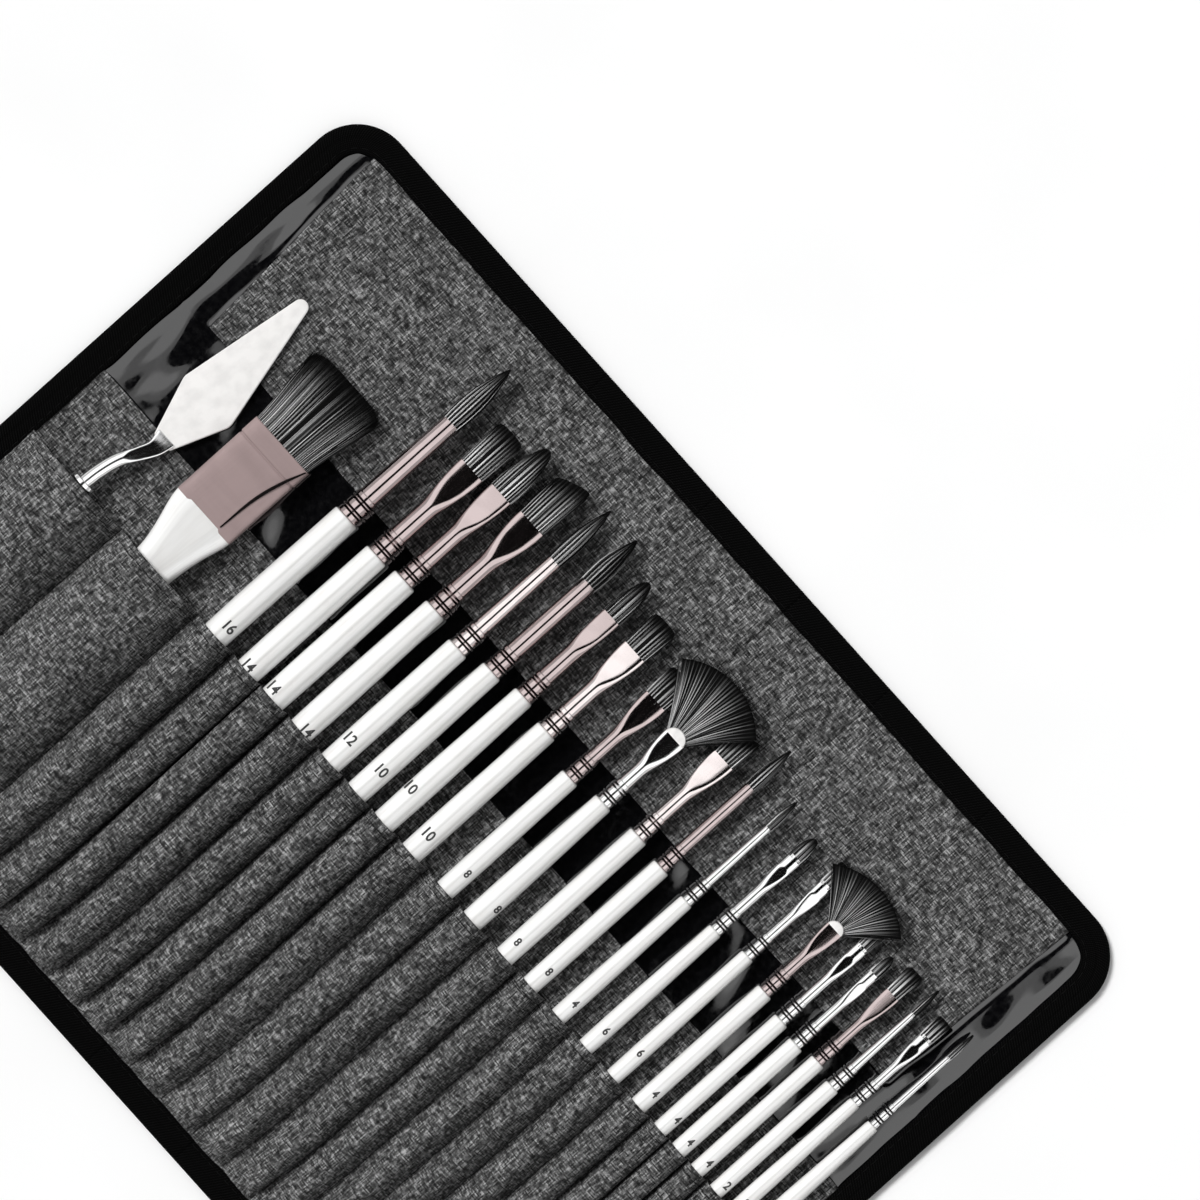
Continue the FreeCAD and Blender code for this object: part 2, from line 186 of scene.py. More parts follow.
def softened(y, at, sizes, reach, count):
    """The line through sizes at the places at, read at y, with its corners rounded over reach either way."""
    return np.mean([np.interp(y + d, at, sizes) for d in np.linspace(-reach, reach, count)], axis=0)


def unit(vectors):
    return vectors / np.linalg.norm(vectors, axis=-1, keepdims=True)


def distance_along(line):
    """How far each point of a line is from its start."""
    return np.concatenate([[0], np.cumsum(np.linalg.norm(np.diff(line, axis=0), axis=1))])


def smooth_line(points, count):
    """A Catmull-Rom line through points, sampled at count places."""
    p = np.asarray(points, float)
    p = np.vstack([2 * p[0] - p[1], p, 2 * p[-1] - p[-2]])
    t = np.linspace(0, len(p) - 3 - 1e-9, count)
    i, f = t.astype(int), (t - t.astype(int))[:, None]
    a, b, c, d = p[i], p[i + 1], p[i + 2], p[i + 3]
    return 0.5 * (2 * b + (c - a) * f + (2 * a - 5 * b + 4 * c - d) * f**2 + (3 * b - a - 3 * c + d) * f**3)


class Mesh:
    """Collects grids, tubes and faces, and makes one object of them."""

    def __init__(self):
        self.points, self.uvs, self.faces, self.count = [], [], [], 0

    def add(self, points, uvs, faces):
        points = np.asarray(points, float).reshape(-1, 3)
        self.points.append(points)
        self.uvs.append(np.asarray(uvs, float).reshape(-1, 2))
        self.faces += [[i + self.count for i in face] for face in faces]
        self.count += len(points)

    def grid(self, points, uvs, wrap=False):
        """points is rows x columns x 3. wrap joins the last column to the first."""
        rows, cols = points.shape[:2]
        r, c = np.meshgrid(np.arange(rows - 1), np.arange(cols if wrap else cols - 1), indexing="ij")
        n = (c + 1) % cols
        faces = np.stack([r * cols + c, r * cols + n, (r + 1) * cols + n, (r + 1) * cols + c], -1)
        self.add(points, uvs, faces.reshape(-1, 4).tolist())

    def rings(self, points, uvs=None, caps=True, girth=20.0):
        """A tube through closed rings, rings x points x 3. girth is how far U runs round it."""
        rows, cols = points.shape[:2]
        if uvs is None:
            uvs = stacked(np.linspace(0, girth, cols, endpoint=False), points[..., 1]) * MM
        start = self.count
        self.grid(points, uvs, wrap=True)
        if caps:
            self.faces.append([start + i for i in range(cols)][::-1])
            self.faces.append([start + (rows - 1) * cols + i for i in range(cols)])

    def tubes(self, points, uvs):
        """Many small open tubes at once, tubes x rings x corners x 3."""
        count, rows, cols = points.shape[:3]
        r, c = np.meshgrid(np.arange(rows - 1), np.arange(cols), indexing="ij")
        n = (c + 1) % cols
        faces = np.stack([r * cols + c, (r + 1) * cols + c, (r + 1) * cols + n, r * cols + n], -1)
        faces = faces.reshape(1, -1, 4) + np.arange(count)[:, None, None] * rows * cols
        self.add(points, uvs, faces.reshape(-1, 4).tolist())

    def roll(self, x, z, degrees):
        """Turns everything so far about a line along Y, through x and z."""
        cos, sin = math.cos(math.radians(degrees)), math.sin(math.radians(degrees))
        for p in self.points:
            dx, dz = p[:, 0] - x, p[:, 2] - z
            p[:, 0], p[:, 2] = x + dx * cos + dz * sin, z - dx * sin + dz * cos

    def object(self, name, material, smooth=True):
        mesh = bpy.data.meshes.new(name)
        mesh.from_pydata((np.vstack(self.points) * MM).tolist(), [], self.faces)
        layer = mesh.uv_layers.new(name="UVMap")
        corners = np.zeros(len(mesh.loops), np.int32)
        mesh.loops.foreach_get("vertex_index", corners)
        layer.data.foreach_set("uv", np.vstack(self.uvs).astype(np.float32)[corners].ravel())
        mesh.polygons.foreach_set("use_smooth", [smooth] * len(mesh.polygons))
        mesh.materials.append(material)
        obj = bpy.data.objects.new(name, mesh)
        scene.collection.objects.link(obj)
        return obj


def section(x, y, z, half_x, half_z, count=32, power=2.0):
    """Rings of a rod along Y: an ellipse at power 2, and squarer above it. All but count may be arrays."""
    parts = (x, y, z, half_x, half_z, power)
    x, y, z, half_x, half_z, power = (np.atleast_1d(part).astype(float)[:, None] for part in parts)
    angle = turns(count)[None, :]
    px = x + half_x * powered(np.cos(angle), 2 / power)
    pz = z - half_z * powered(np.sin(angle), 2 / power)
    return stacked(px, y, pz)


def with_edges_kept(obj, angle=35):
    """Smooth shading that keeps sharp edges sharp."""
    obj.data.set_sharp_from_angle(angle=math.radians(angle))
    return obj


# --- materials


class Paint:
    """A node material built around one Principled shader."""

    def __init__(self, name, **settings):
        self.material = bpy.data.materials.new(name)
        self.material.use_nodes = True
        self.tree = self.material.node_tree
        self.shader = self.tree.nodes["Principled BSDF"]
        for key, value in settings.items():
            self.shader.inputs[key.replace("_", " ")].default_value = value
        self.uv = self.node("TexCoord").outputs["UV"]

    def put(self, socket, value):
        if isinstance(value, bpy.types.NodeSocket):
            self.tree.links.new(value, socket)
        else:
            socket.default_value = value

    def node(self, kind, *inputs, **settings):
        made = self.tree.nodes.new("ShaderNode" + kind)
        for key, value in settings.items():
            setattr(made, key, value)
        for socket, value in zip(made.inputs, inputs):
            if value is not None:
                self.put(socket, value)
        return made

    def math(self, operation, *inputs):
        return self.node("Math", *inputs, operation=operation).outputs[0]

    def u_and_v(self):
        """The two coordinates, in metres for all but the hair."""
        return self.node("SeparateXYZ", self.uv).outputs[:2]

    def wave(self, value, pitch):
        """A sine along value, which is in metres. pitch is in millimetres."""
        return self.math("SINE", self.math("MULTIPLY", value, 2 * math.pi / (pitch * MM)))

    def scaled(self, vector, x, y):
        """The coordinates times x and y, with metres turned into millimetres."""
        made = self.node("Mapping", vector)
        made.inputs["Scale"].default_value = (x / MM, y / MM, 1.0)
        return made.outputs[0]

    def noise(self, vector, detail=2.0):
        made = self.node("TexNoise", vector)
        made.inputs["Scale"].default_value = 1.0
        made.inputs["Detail"].default_value = detail
        return made.outputs[0]

    def ramp(self, value, *stops):
        """stops are (position, grey or colour)."""
        made = self.node("ValToRGB", value)
        elements = made.color_ramp.elements
        while len(elements) < len(stops):
            elements.new(0.5)
        for element, (position, colour) in zip(elements, stops):
            element.position = position
            element.color = (*colour, 1) if isinstance(colour, tuple) else (colour, colour, colour, 1)
        return made.outputs[0]

    def blend(self, share, a, b, kind="MIX"):
        made = self.tree.nodes.new("ShaderNodeMix")
        made.data_type, made.blend_type = "RGBA", kind
        self.put(made.inputs[0], share)
        self.put(made.inputs[6], a)
        self.put(made.inputs[7], b)
        return made.outputs[2]

    def bump(self, height, distance, strength=1.0):
        made = self.node("Bump")
        made.inputs["Strength"].default_value = strength
        made.inputs["Distance"].default_value = distance * MM
        self.put(made.inputs["Height"], height)
        self.put(self.shader.inputs["Normal"], made.outputs[0])

    def colour(self, value):
        self.put(self.shader.inputs["Base Color"], value)

    def roughness(self, value):
        self.put(self.shader.inputs["Roughness"], value)


THREAD_GREYS = ((0.36, 0.008), (0.44, 0.03), (0.505, 0.072), (0.57, 0.15), (0.66, 0.34))


def heather(name, light, pitch=0.44):
    """Plain-woven cloth of dark and pale threads, each thread uneven along its length."""
    p = Paint(name, Specular_IOR_Level=0.2, Roughness=0.9)
    u, v = (p.math("DIVIDE", axis, MM) for axis in p.u_and_v())

    def threads(along, across, seed):
        """One grey a thread, drifting over a few millimetres of its length."""
        lane = p.math("MULTIPLY", p.math("SNAP", across, pitch), 7.3)
        place = p.node("CombineXYZ", p.math("MULTIPLY", along, 0.3), lane, seed)
        return p.noise(place.outputs[0], 1.0)

    weft, warp = threads(u, v, 3.0), threads(v, u, 11.0)
    sine_u, sine_v = (p.math("SINE", p.math("MULTIPLY", axis, math.pi / pitch)) for axis in (u, v))
    jitter = p.math("SUBTRACT", p.noise(p.scaled(p.uv, 1.1, 1.1)), 0.5)
    checks = p.math("MULTIPLY", sine_u, sine_v)
    over = p.math("MULTIPLY_ADD", checks, 0.5, p.math("MULTIPLY_ADD", jitter, 0.3, 0.5))
    over = p.ramp(over, (0.4, 0.35), (0.6, 0.65))
    tone = p.ramp(p.blend(over, weft, warp), *((place, grey * light) for place, grey in THREAD_GREYS))
    cloud = p.ramp(p.noise(p.scaled(p.uv, 0.045, 0.045)), (0.3, 0.84), (0.7, 1.16))
    p.colour(p.blend(1.0, tone, cloud, "MULTIPLY"))
    p.bump(p.blend(over, p.math("ABSOLUTE", sine_v), p.math("ABSOLUTE", sine_u)), 0.14, 0.35)
    return p.material


def film():
    """Thin glossy black sheeting."""
    p = Paint("film", IOR=1.9, Roughness=0.05)
    dust = p.noise(p.scaled(p.uv, 0.5, 0.5), 4.0)
    p.colour(p.ramp(dust, (0.4, (0.002, 0.002, 0.0025)), (0.75, (0.006, 0.006, 0.0065))))
    p.roughness(p.ramp(dust, (0.35, 0.035), (0.75, 0.12)))
    p.bump(p.noise(p.scaled(p.uv, 0.07, 0.04)), 0.5, 0.12)
    return p.material


def tape():
    """Black ribbed binding tape, with a slanting rib and fine threads. Its colour is lighter where the bump
    is high and darker where it is low: painted shade in the hollows.
    """
    p = Paint("tape", Specular_IOR_Level=0.02, Roughness=0.8)
    u, v = p.u_and_v()
    rib = p.wave(p.math("ADD", u, p.math("MULTIPLY", v, 0.6)), 1.05)
    cross = p.wave(v, 0.7)
    fuzz = p.noise(p.scaled(p.uv, 2.4, 2.4), 3.0)
    height = p.math("ADD", p.math("MULTIPLY_ADD", rib, 0.5, p.math("MULTIPLY", cross, 0.25)), fuzz)
    # tone follows the bump's height: painted shade in the hollows of the ribs and threads
    tone = p.math("MULTIPLY_ADD", height, 0.3, 0.2)
    p.colour(p.ramp(tone, (0.15, 0.0006), (0.4, 0.002), (0.75, 0.011)))
    p.bump(height, 0.2, 0.8)
    return p.material


def thread(name, low, high):
    """Twisted sewing thread, darker in the grooves of its twist: painted shade."""
    p = Paint(name, Specular_IOR_Level=0.1, Roughness=0.6)
    u, v = p.u_and_v()
    ply = p.math("SINE", p.math("ADD", p.math("MULTIPLY", u, 9.0), p.math("MULTIPLY", v, 12.0)))
    # The colour follows the same twist as the bump: painted shade between the plies
    p.colour(p.ramp(p.math("MULTIPLY_ADD", ply, 0.5, 0.5), (0.1, low), (0.9, high)))
    p.bump(ply, 0.05)
    return p.material


def lacquer():
    """Pearl white gloss lacquer on turned wood."""
    p = Paint("lacquer", Coat_Weight=1.0, Coat_IOR=2.1, Coat_Roughness=0.14, Roughness=0.4)
    grain = p.noise(p.scaled(p.uv, 1.6, 0.05), 3.0)
    cloud = p.noise(p.scaled(p.uv, 0.2, 0.06), 2.0)
    base = p.ramp(grain, (0.3, (0.72, 0.715, 0.70)), (0.6, (0.84, 0.84, 0.825)))
    p.colour(p.blend(0.5, base, p.ramp(cloud, (0.35, (0.80, 0.785, 0.765)), (0.65, (0.87, 0.87, 0.87)))))
    p.roughness(p.ramp(cloud, (0.3, 0.26), (0.7, 0.38)))
    p.bump(p.noise(p.scaled(p.uv, 0.5, 0.14), 2.0), 0.05, 0.35)
    return p.material


def metal(name, colour, rough, brushed=0.3, metallic=1.0):
    """Drawn or rolled metal: fine lengthwise scratches and a few soft stains."""
    p = Paint(name, Metallic=metallic, Roughness=rough)
    scratch = p.noise(p.scaled(p.uv, 7.0, 0.09), 4.0)
    stain = p.noise(p.scaled(p.uv, 0.22, 0.16), 3.0)
    dim = tuple(0.9 * c for c in colour)
    p.colour(p.ramp(stain, (0.32, dim), (0.6, colour)))
    p.roughness(p.ramp(scratch, (0.3, rough * (1 - brushed)), (0.7, rough * (1 + brushed))))
    p.bump(scratch, 0.02, 0.35)
    return p.material


def bristle():
    """Fine synthetic hair, silvery by the ferrule and black at the tip.

    U holds a hair's shade, partly a paler hair and partly painted sheen, and V how far along the hair a point
    is, from 0 to 1."""
    p = Paint("bristle", Roughness=0.45, Specular_IOR_Level=0.08)
    shade, along = p.u_and_v()
    fade = p.ramp(along, (0.0, 1.0), (0.32, 0.95), (0.6, 0.5), (0.8, 0.1), (0.92, 0.012))
    # Bright hairs reach near white: partly paler hair and partly painted sheen along the strands
    each = p.ramp(shade, (0.0, 0.003), (0.42, 0.01), (0.54, 0.1), (0.7, 0.5), (1.0, 0.98))
    p.colour(p.blend(1.0, fade, each, "MULTIPLY"))
    p.roughness(p.ramp(along, (0.0, 0.35), (1.0, 0.6)))
    return p.material


def ink():
    p = Paint("ink", Roughness=0.45)
    p.colour(p.ramp(p.noise(p.scaled(p.uv, 3.0, 3.0)), (0.3, 0.012), (0.75, 0.05)))
    return p.material


LINEN = heather("linen", 1.01)
SHELL = heather("shell_weave", 0.95, 0.6)
FILM, TAPE = film(), tape()
DARK_THREAD = thread("dark_thread", 0.004, 0.02)
BLACK_THREAD = thread("black_thread", 0.001, 0.005)
LACQUER = lacquer()
INK = ink()
BRISTLE = bristle()
METALS = {
    "rose": metal("rose_ferrule", (0.585, 0.49, 0.485), 0.1),
    "pale": metal("pale_rose_ferrule", (0.86, 0.78, 0.77), 0.1),
    "silver": metal("silver_ferrule", (0.92, 0.92, 0.92), 0.09),
}
MAUVE = metal("mauve_band", (0.37, 0.28, 0.275), 0.5, 0.2, 0.45)
STEEL = metal("polished_steel", (0.95, 0.95, 0.95), 0.1)
SATIN = metal("satin_steel", (0.92, 0.905, 0.89), 0.6, 0.05, 0.4)
# Near-black metal laid over grooves and bends: painted shade, not a colour the ferrules have
PAINTED_FOLD_SHADE = metal("dark_fold", (0.012, 0.01, 0.01), 0.3)


# --- cloth pieces

ENDS = (-HALF_X,) + PIECE_ENDS + (HALF_X,)


def bend_with_fold(obj):
    """Bakes the object's placement into its mesh."""
    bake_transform(obj)


def stand_for(piece, node):
    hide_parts(f"{node}_{piece}")
    if piece == 6:
        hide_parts(f"{node}_7")


def thicken(obj, thickness):
    modifier = obj.modifiers.new("thickness", "SOLIDIFY")
    modifier.thickness = thickness * MM
    modifier.offset = 0.0


def cloth(name, piece, points, material, thickness):
    mesh = Mesh()
    mesh.grid(points, points[..., :2] * MM)
    obj = mesh.object(f"{name}_{piece}", material)
    if thickness:
        thicken(obj, thickness)
    bend_with_fold(obj)
    return obj


def columns(piece, step):
    left, right = ENDS[piece - 1], ENDS[piece]
    return np.linspace(left, right, max(4, int((right - left) / step) + 1))


def outline_half(x, inset):
    """Half the depth of the case at x, drawn in by inset, round its corners."""
    radius = CORNER - inset
    past = np.clip(np.abs(x) - (HALF_X - CORNER), 0, radius)
    return HALF_Y - CORNER + np.sqrt(np.maximum(radius**2 - past**2, 0.0))


def flap_side(y):
    """The left and right ends of the flap at y."""
    t = (y - FLAP_EDGE_Y) / (HALF_Y - 2 - FLAP_EDGE_Y)
    return [edge + t * (top - edge) for edge, top in zip(FLAP_EDGE_X, FLAP_TOP_X)]


def inset_columns(piece, step, inset):
    """Columns that stay inset from the case's edge, and half the case's depth at each."""
    end = HALF_X - inset - 0.01
    x = np.clip(columns(piece, step), -end, end)[None, :]
    return x, outline_half(x, inset)


def make_shell(piece):
    x, half = inset_columns(piece, 3.0, 1.0)
    y = np.linspace(-1, 1, 96)[:, None] * half
    points = stacked(x, y, SHELL_Z + 0.05 * ripple(x, y, 60, 3))
    obj = cloth("shell_cloth", piece, points, SHELL, SHELL_THICK)
    stand_for(piece, "outer_shell")


def film_height(x, y):
    """The lining lies flat under the cloth and crinkles where it is open."""
    strip = ease((y - REAR_TOP_Y + 1) / 4) * ease((FLAP_EDGE_Y + 1 - y) / 4)
    left, right = flap_side(y)
    beside = np.maximum(ease((left + 1 - x) / 3), ease((x - right + 1) / 3)) * ease((y - FLAP_EDGE_Y + 3) / 4)
    edge = ease((HALF_X - TAPE_WIDTH - np.abs(x)) / 3) * ease((HALF_Y - TAPE_WIDTH - np.abs(y)) / 3)
    open_part = np.maximum(strip, beside) * edge
    wave = ripple(x * 1.3, y * 0.75, 25, 11) + 0.3 * ripple(x * 1.3, y * 0.8, 15, 12)
    crease = 1 - np.abs(ripple(x * 1.2, y * 0.5, 44, 15))
    beside_tape = ease((np.abs(x) - HALF_X + 42) / 14)
    fall = 0.045 * np.clip(HALF_X - TAPE_WIDTH - np.abs(x), 0, 15) * (1 + 0.6 * ripple(0.6 * x, y, 38, 17))
    curl = 0.1 * ripple(x, 0.7 * y, 16, 69)
    return FILM_Z + open_part * (0.35 + 0.25 * wave + 0.16 * crease + beside_tape * (fall + curl))


def make_film(piece):
    x, half = inset_columns(piece, 1.2, 1.2)
    low = REAR_TOP_Y - 8
    y = low + np.linspace(0, 1, 150)[:, None] * (half - low)
    points = stacked(x, y, film_height(x, y))
    obj = cloth("lining_film", piece, points, FILM, 0)


def flap_height(x, y):
    hem = ease((FLAP_EDGE_Y + 4.4 - y) / 0.8)
    lift = 0.45 * ease((FLAP_EDGE_Y + 12 - y) / 12) * (0.6 + 0.5 * ripple(x, 0 * y, 34, 21))
    return CLOTH_Z + 0.1 + 0.16 * ripple(x, y, 45, 22) + 0.34 * hem + lift


def make_flap(piece):
    hem = FLAP_EDGE_Y + np.linspace(0, 6, 13)
    y = np.concatenate([hem, np.linspace(FLAP_EDGE_Y + 8, HALF_Y - 4, 46)])[:, None]
    left, right = flap_side(y)
    left = left if piece == 1 else ENDS[piece - 1] + 0 * y
    right = right if piece == 6 else ENDS[piece] + 0 * y
    count = int((ENDS[piece] - ENDS[piece - 1]) / 2)
    x = left + np.linspace(0, 1, count)[None, :] * (right - left)
    y = y + 0 * x
    y = y + 0.35 * ripple(x, 0 * x, 40, 23) * ease((FLAP_EDGE_Y + 6 - y) / 6)
    tuck = ease((y - (HALF_Y - TAPE_WIDTH - 1.5)) / 1.5)
    points = stacked(x, y, flap_height(x, y) * (1 - tuck) + CLOTH_Z * tuck)
    obj = cloth("flap_cloth", piece, points, LINEN, CLOTH_THICK)
    stand_for(piece, "tip_flap")


def rear_height(x, y):
    hem = ease((y - REAR_TOP_Y + 6.2) / 0.8)
    lift = 0.3 * ease((y - REAR_TOP_Y + 10) / 10) * (0.5 + 0.5 * ripple(x, 0 * y, 30, 31))
    return CLOTH_Z + 0.28 * hem + lift


def make_rear_wall(piece):
    x, half = inset_columns(piece, 2.0, 2.0)
    t = np.concatenate([np.linspace(0, 0.84, 30), np.linspace(0.85, 1, 34)])[:, None]
    y = -half + t * (REAR_TOP_Y + half)
    y = y + 0.3 * ripple(x, 0 * x, 46, 32) * ease((y - REAR_TOP_Y + 9) / 9)
    shown = ease((HALF_X - TAPE_WIDTH + 0.5 - np.abs(x)) / 2.5)
    points = stacked(x, y, CLOTH_Z + (rear_height(x, y) - CLOTH_Z) * shown)
    obj = cloth("rear_wall", piece, points, LINEN, CLOTH_THICK)
    stand_for(piece, "pocket")


# --- the pockets' front

VALLEY_Z = WALL_TOP_Z + 0.45
CLOTH_CLEARANCE = 0.9
WIDE_POCKETS, WIDE_POCKET_RISE = 2, 12.9


def handle_radius(b, box, y):
    """The radius of a brush's turned handle at y."""
    thick = middle_and_half(box)[1][2]
    length = b.top_y - HANDLE_FOOT_Y
    at = [HANDLE_FOOT_Y, HANDLE_FOOT_Y + 3, b.top_y - 0.62 * length, b.top_y - 0.25 * length, b.top_y]
    radii = [0.30 * thick, 0.56 * thick, 0.86 * thick, thick, b.neck / 2]
    return softened(y, at, radii, 9 * ease((y - HANDLE_FOOT_Y) / 12), 13)


def tent(left, right, centre, height, radius, count):
    """Cloth pulled over a rod and stitched down at both sides: its (x, z), places from 0 to 1, and width."""
    rise = height - VALLEY_Z
    lengths, slopes = [], []
    for valley in (left, right):
        run = abs(centre - valley)
        away = math.hypot(run, rise)
        lengths.append(math.sqrt(max(away**2 - radius**2, 0.01)))
        slopes.append(math.atan2(rise, run) + math.asin(min(0.999, radius / away)))
    (left_length, right_length), (left_slope, right_slope) = lengths, slopes
    total = left_length + radius * (left_slope + right_slope) + right_length
    t = np.linspace(0, 1, count)
    t = 0.6 * t + 0.4 * (1 - np.cos(math.pi * t)) / 2
    places = []
    for s in t * total:
        if s <= left_length:
            places.append((left + s * math.cos(left_slope), VALLEY_Z + s * math.sin(left_slope)))
        elif s >= total - right_length:
            back = total - s
            places.append((right - back * math.cos(right_slope), VALLEY_Z + back * math.sin(right_slope)))
        else:
            angle = math.pi / 2 + left_slope - (s - left_length) / radius
            places.append((centre + radius * math.cos(angle), height + radius * math.sin(angle)))
    return np.array(places), t, total


def arch(left, right, rise, count):
    """A wide pocket's cloth, a low arch: its (x, z), its places from 0 to 1, its width."""
    half = (right - left) / 2
    radius = (half**2 + rise**2) / (2 * rise)
    reach = math.asin(min(1.0, half / radius))
    if rise > half:
        reach = math.pi - reach
    t = np.linspace(0, 1, count)
    angle = -reach + 2 * reach * t
    x = (left + right) / 2 + radius * np.sin(angle)
    z = VALLEY_Z + rise - radius + radius * np.cos(angle)
    return np.stack([x, z], -1), t, 2 * reach * radius


FOOT_ROWS = 20                                   # the rows where the cloth flattens below the handles
ROWS_Y = np.concatenate([
    np.linspace(FOOT_Y, -127, FOOT_ROWS), np.linspace(-125, -20, 62), np.linspace(-19, MOUTH_Y, 9),
])


def valley_at(x, y):
    """The rows of stitches lean a little to the left near the foot."""
    return x - 2.6 * ease((-100 - y) / 36) + 0.35 * math.sin(x * 0.9 + y * 0.045)


def pocket_cloth():
    """The front of the pockets as strips between the rows of stitches, each its points and its UV."""
    strips = []
    start = 0.0
    for i, (left, right) in enumerate(zip(VALLEYS, VALLEYS[1:])):
        wide = i < WIDE_POCKETS
        count = 40 if wide else 23
        if not wide:
            b = BRUSHES[i - WIDE_POCKETS]
            box = millimetres(b.name)
            axis, _ = middle_and_half(box)
        rows, widths = [], []
        for y in ROWS_Y:
            low, high = valley_at(left, y), valley_at(right, y)
            if wide:
                rise = WIDE_POCKET_RISE - 2.6 * ease((-50 - y) / 75)
                line, t, total = arch(low, high, rise, count)
            else:
                radius = float(handle_radius(b, box, max(y, HANDLE_FOOT_Y))) + CLOTH_CLEARANCE
                line, t, total = tent(low, high, axis[0], axis[2], radius, count)
            flat = ease((HANDLE_FOOT_Y + 0.4 - y) / 7.6)
            slack = 4 * t * (1 - t) * (0.5 if wide else 0.16)
            x = line[:, 0]
            z = line[:, 1] + slack * (ripple(x, y * 0.55, 30, 41) + 0.1 * ripple(x, y, 8, 42))
            z = z * (1 - flat) + (WALL_TOP_Z + 0.1) * flat
            rows.append(stacked(x, y, z))
            widths.append(total)
        points = np.array(rows)
        width = float(np.mean(widths[FOOT_ROWS:]))
        steps = np.linalg.norm(np.diff(points, axis=0), axis=2)
        v = MOUTH_Y - np.concatenate([np.cumsum(steps[::-1], axis=0)[::-1], np.zeros((1, count))])
        strips.append((points, stacked(start + t * width, v) * MM))
        start += width
    return strips


STITCH_PITCH = 3.6


def along_line(line, spacing):
    """Places and directions at even spacing along a line of points."""
    lengths = distance_along(line)
    marks = np.arange(spacing / 2, lengths[-1], spacing)

    def points_at(lengths_wanted):
        return stacked(*(np.interp(lengths_wanted, lengths, line[:, axis]) for axis in range(3)))

    return points_at(marks), unit(points_at(marks + 0.3) - points_at(marks - 0.3))


def add_stitches(mesh, line, up, length=2.7, spacing=STITCH_PITCH, radius=0.2):
    """A row of stitches: short threads that dip into the cloth at both ends. up is one normal or many."""
    at, direction = along_line(line, spacing)
    up = np.broadcast_to(np.asarray(up, float), at.shape)
    side = unit(np.cross(direction, up))
    up = np.cross(side, direction)
    t = np.array([-0.5, -0.42, -0.2, 0.2, 0.42, 0.5])[:, None]
    thick = radius * np.array([0.3, 0.85, 1.0, 1.0, 0.85, 0.3])[:, None, None]
    dip = radius * np.array([-1.6, -0.5, 0.0, 0.0, -0.5, -1.6])[:, None]
    angle = turns(6)[:, None]
    centre = at[:, None] + direction[:, None] * t * length + up[:, None] * dip
    ring = side[:, None] * np.cos(angle) + up[:, None] * np.sin(angle)
    points = centre[:, :, None] + ring[:, None] * thick
    uvs = stacked(t, angle.T / (2 * math.pi))
    mesh.tubes(points, np.broadcast_to(uvs, (*points.shape[:3], 2)))


SEAM_LIFT, HEM_LIFT = 0.38, 0.3                  # how far a stitch lies above the cloth's middle
FLAP_HEM, REAR_HEM = 3.9, 5.4                    # from the cloth's edge to the hem's stitches
MARGIN_END = 6.0                                 # from the case's edge to the front wall's, under the tape


def add_margin(mesh, seam, side):
    """Plain cloth from the outermost row of stitches to under the tape. side is -1 or 1."""
    edge = seam.copy()
    edge[..., 0] = side * (HALF_X - MARGIN_END)
    edge[..., 2] = WALL_TOP_Z + 0.15
    margin = np.concatenate([seam, (edge + seam) / 2, edge][::side], 1)
    mesh.grid(margin, margin[..., :2] * MM)


def add_mouth_stitches(seams, row):
    """Stitches along the pockets' mouth, which stand square to the cloth. row is a row of its points."""
    slope = np.gradient(row, axis=0)
    normal = unit(stacked(-slope[:, 2], 0, slope[:, 0]))
    lifted = row + HEM_LIFT * normal
    at, _ = along_line(lifted, STITCH_PITCH)
    ups = stacked(*(np.interp(at[:, 0], row[:, 0], normal[:, axis]) for axis in range(3)))
    add_stitches(seams, lifted, ups)


def make_pockets():
    strips = pocket_cloth()
    for piece in range(1, 7):
        mesh, seams = Mesh(), Mesh()
        for (points, uvs), left, right in zip(strips, VALLEYS, VALLEYS[1:]):
            if not ENDS[piece - 1] - 1 <= left < ENDS[piece] - 1:
                continue
            if left == VALLEYS[0]:
                add_margin(mesh, points[:, :1], -1)
            mesh.grid(points, uvs)
            if right == VALLEYS[-1]:
                add_margin(mesh, points[:, -1:], 1)
            if left not in PIECE_ENDS:
                add_stitches(seams, points[4:-1, 0] + (0, 0, SEAM_LIFT), (0, 0, 1))
            if right in PIECE_ENDS or right == VALLEYS[-1]:
                add_stitches(seams, points[4:-1, -1] + (0, 0, SEAM_LIFT), (0, 0, 1))
            add_mouth_stitches(seams, points[-6])
        obj = mesh.object(f"front_wall_{piece}", LINEN)
        merge(obj)
        thicken(obj, CLOTH_THICK)
        bend_with_fold(obj)
        stand_for(piece, "pocket")

        x = columns(piece, 2.0)
        left, right = flap_side(FLAP_EDGE_Y + FLAP_HEM)
        x_flap, x_rear = x[(x > left + 1) & (x < right - 1)], x[np.abs(x) < HALF_X - TAPE_WIDTH]
        hems = ((x_flap, FLAP_EDGE_Y + FLAP_HEM, flap_height), (x_rear, REAR_TOP_Y - REAR_HEM, rear_height))
        for hem_x, hem_y, height in hems:
            add_stitches(seams, stacked(hem_x, hem_y, height(hem_x, hem_y) + HEM_LIFT), (0, 0, 1))
        stitches = seams.object(f"stitches_{piece}", DARK_THREAD)
        bend_with_fold(stitches)


def merge(obj):
    """Joins the strips of one piece along the rows of stitches."""
    made = bmesh.new()
    made.from_mesh(obj.data)
    bmesh.ops.remove_doubles(made, verts=made.verts, dist=0.01 * MM)
    made.to_mesh(obj.data)
    made.free()


# --- binding tape

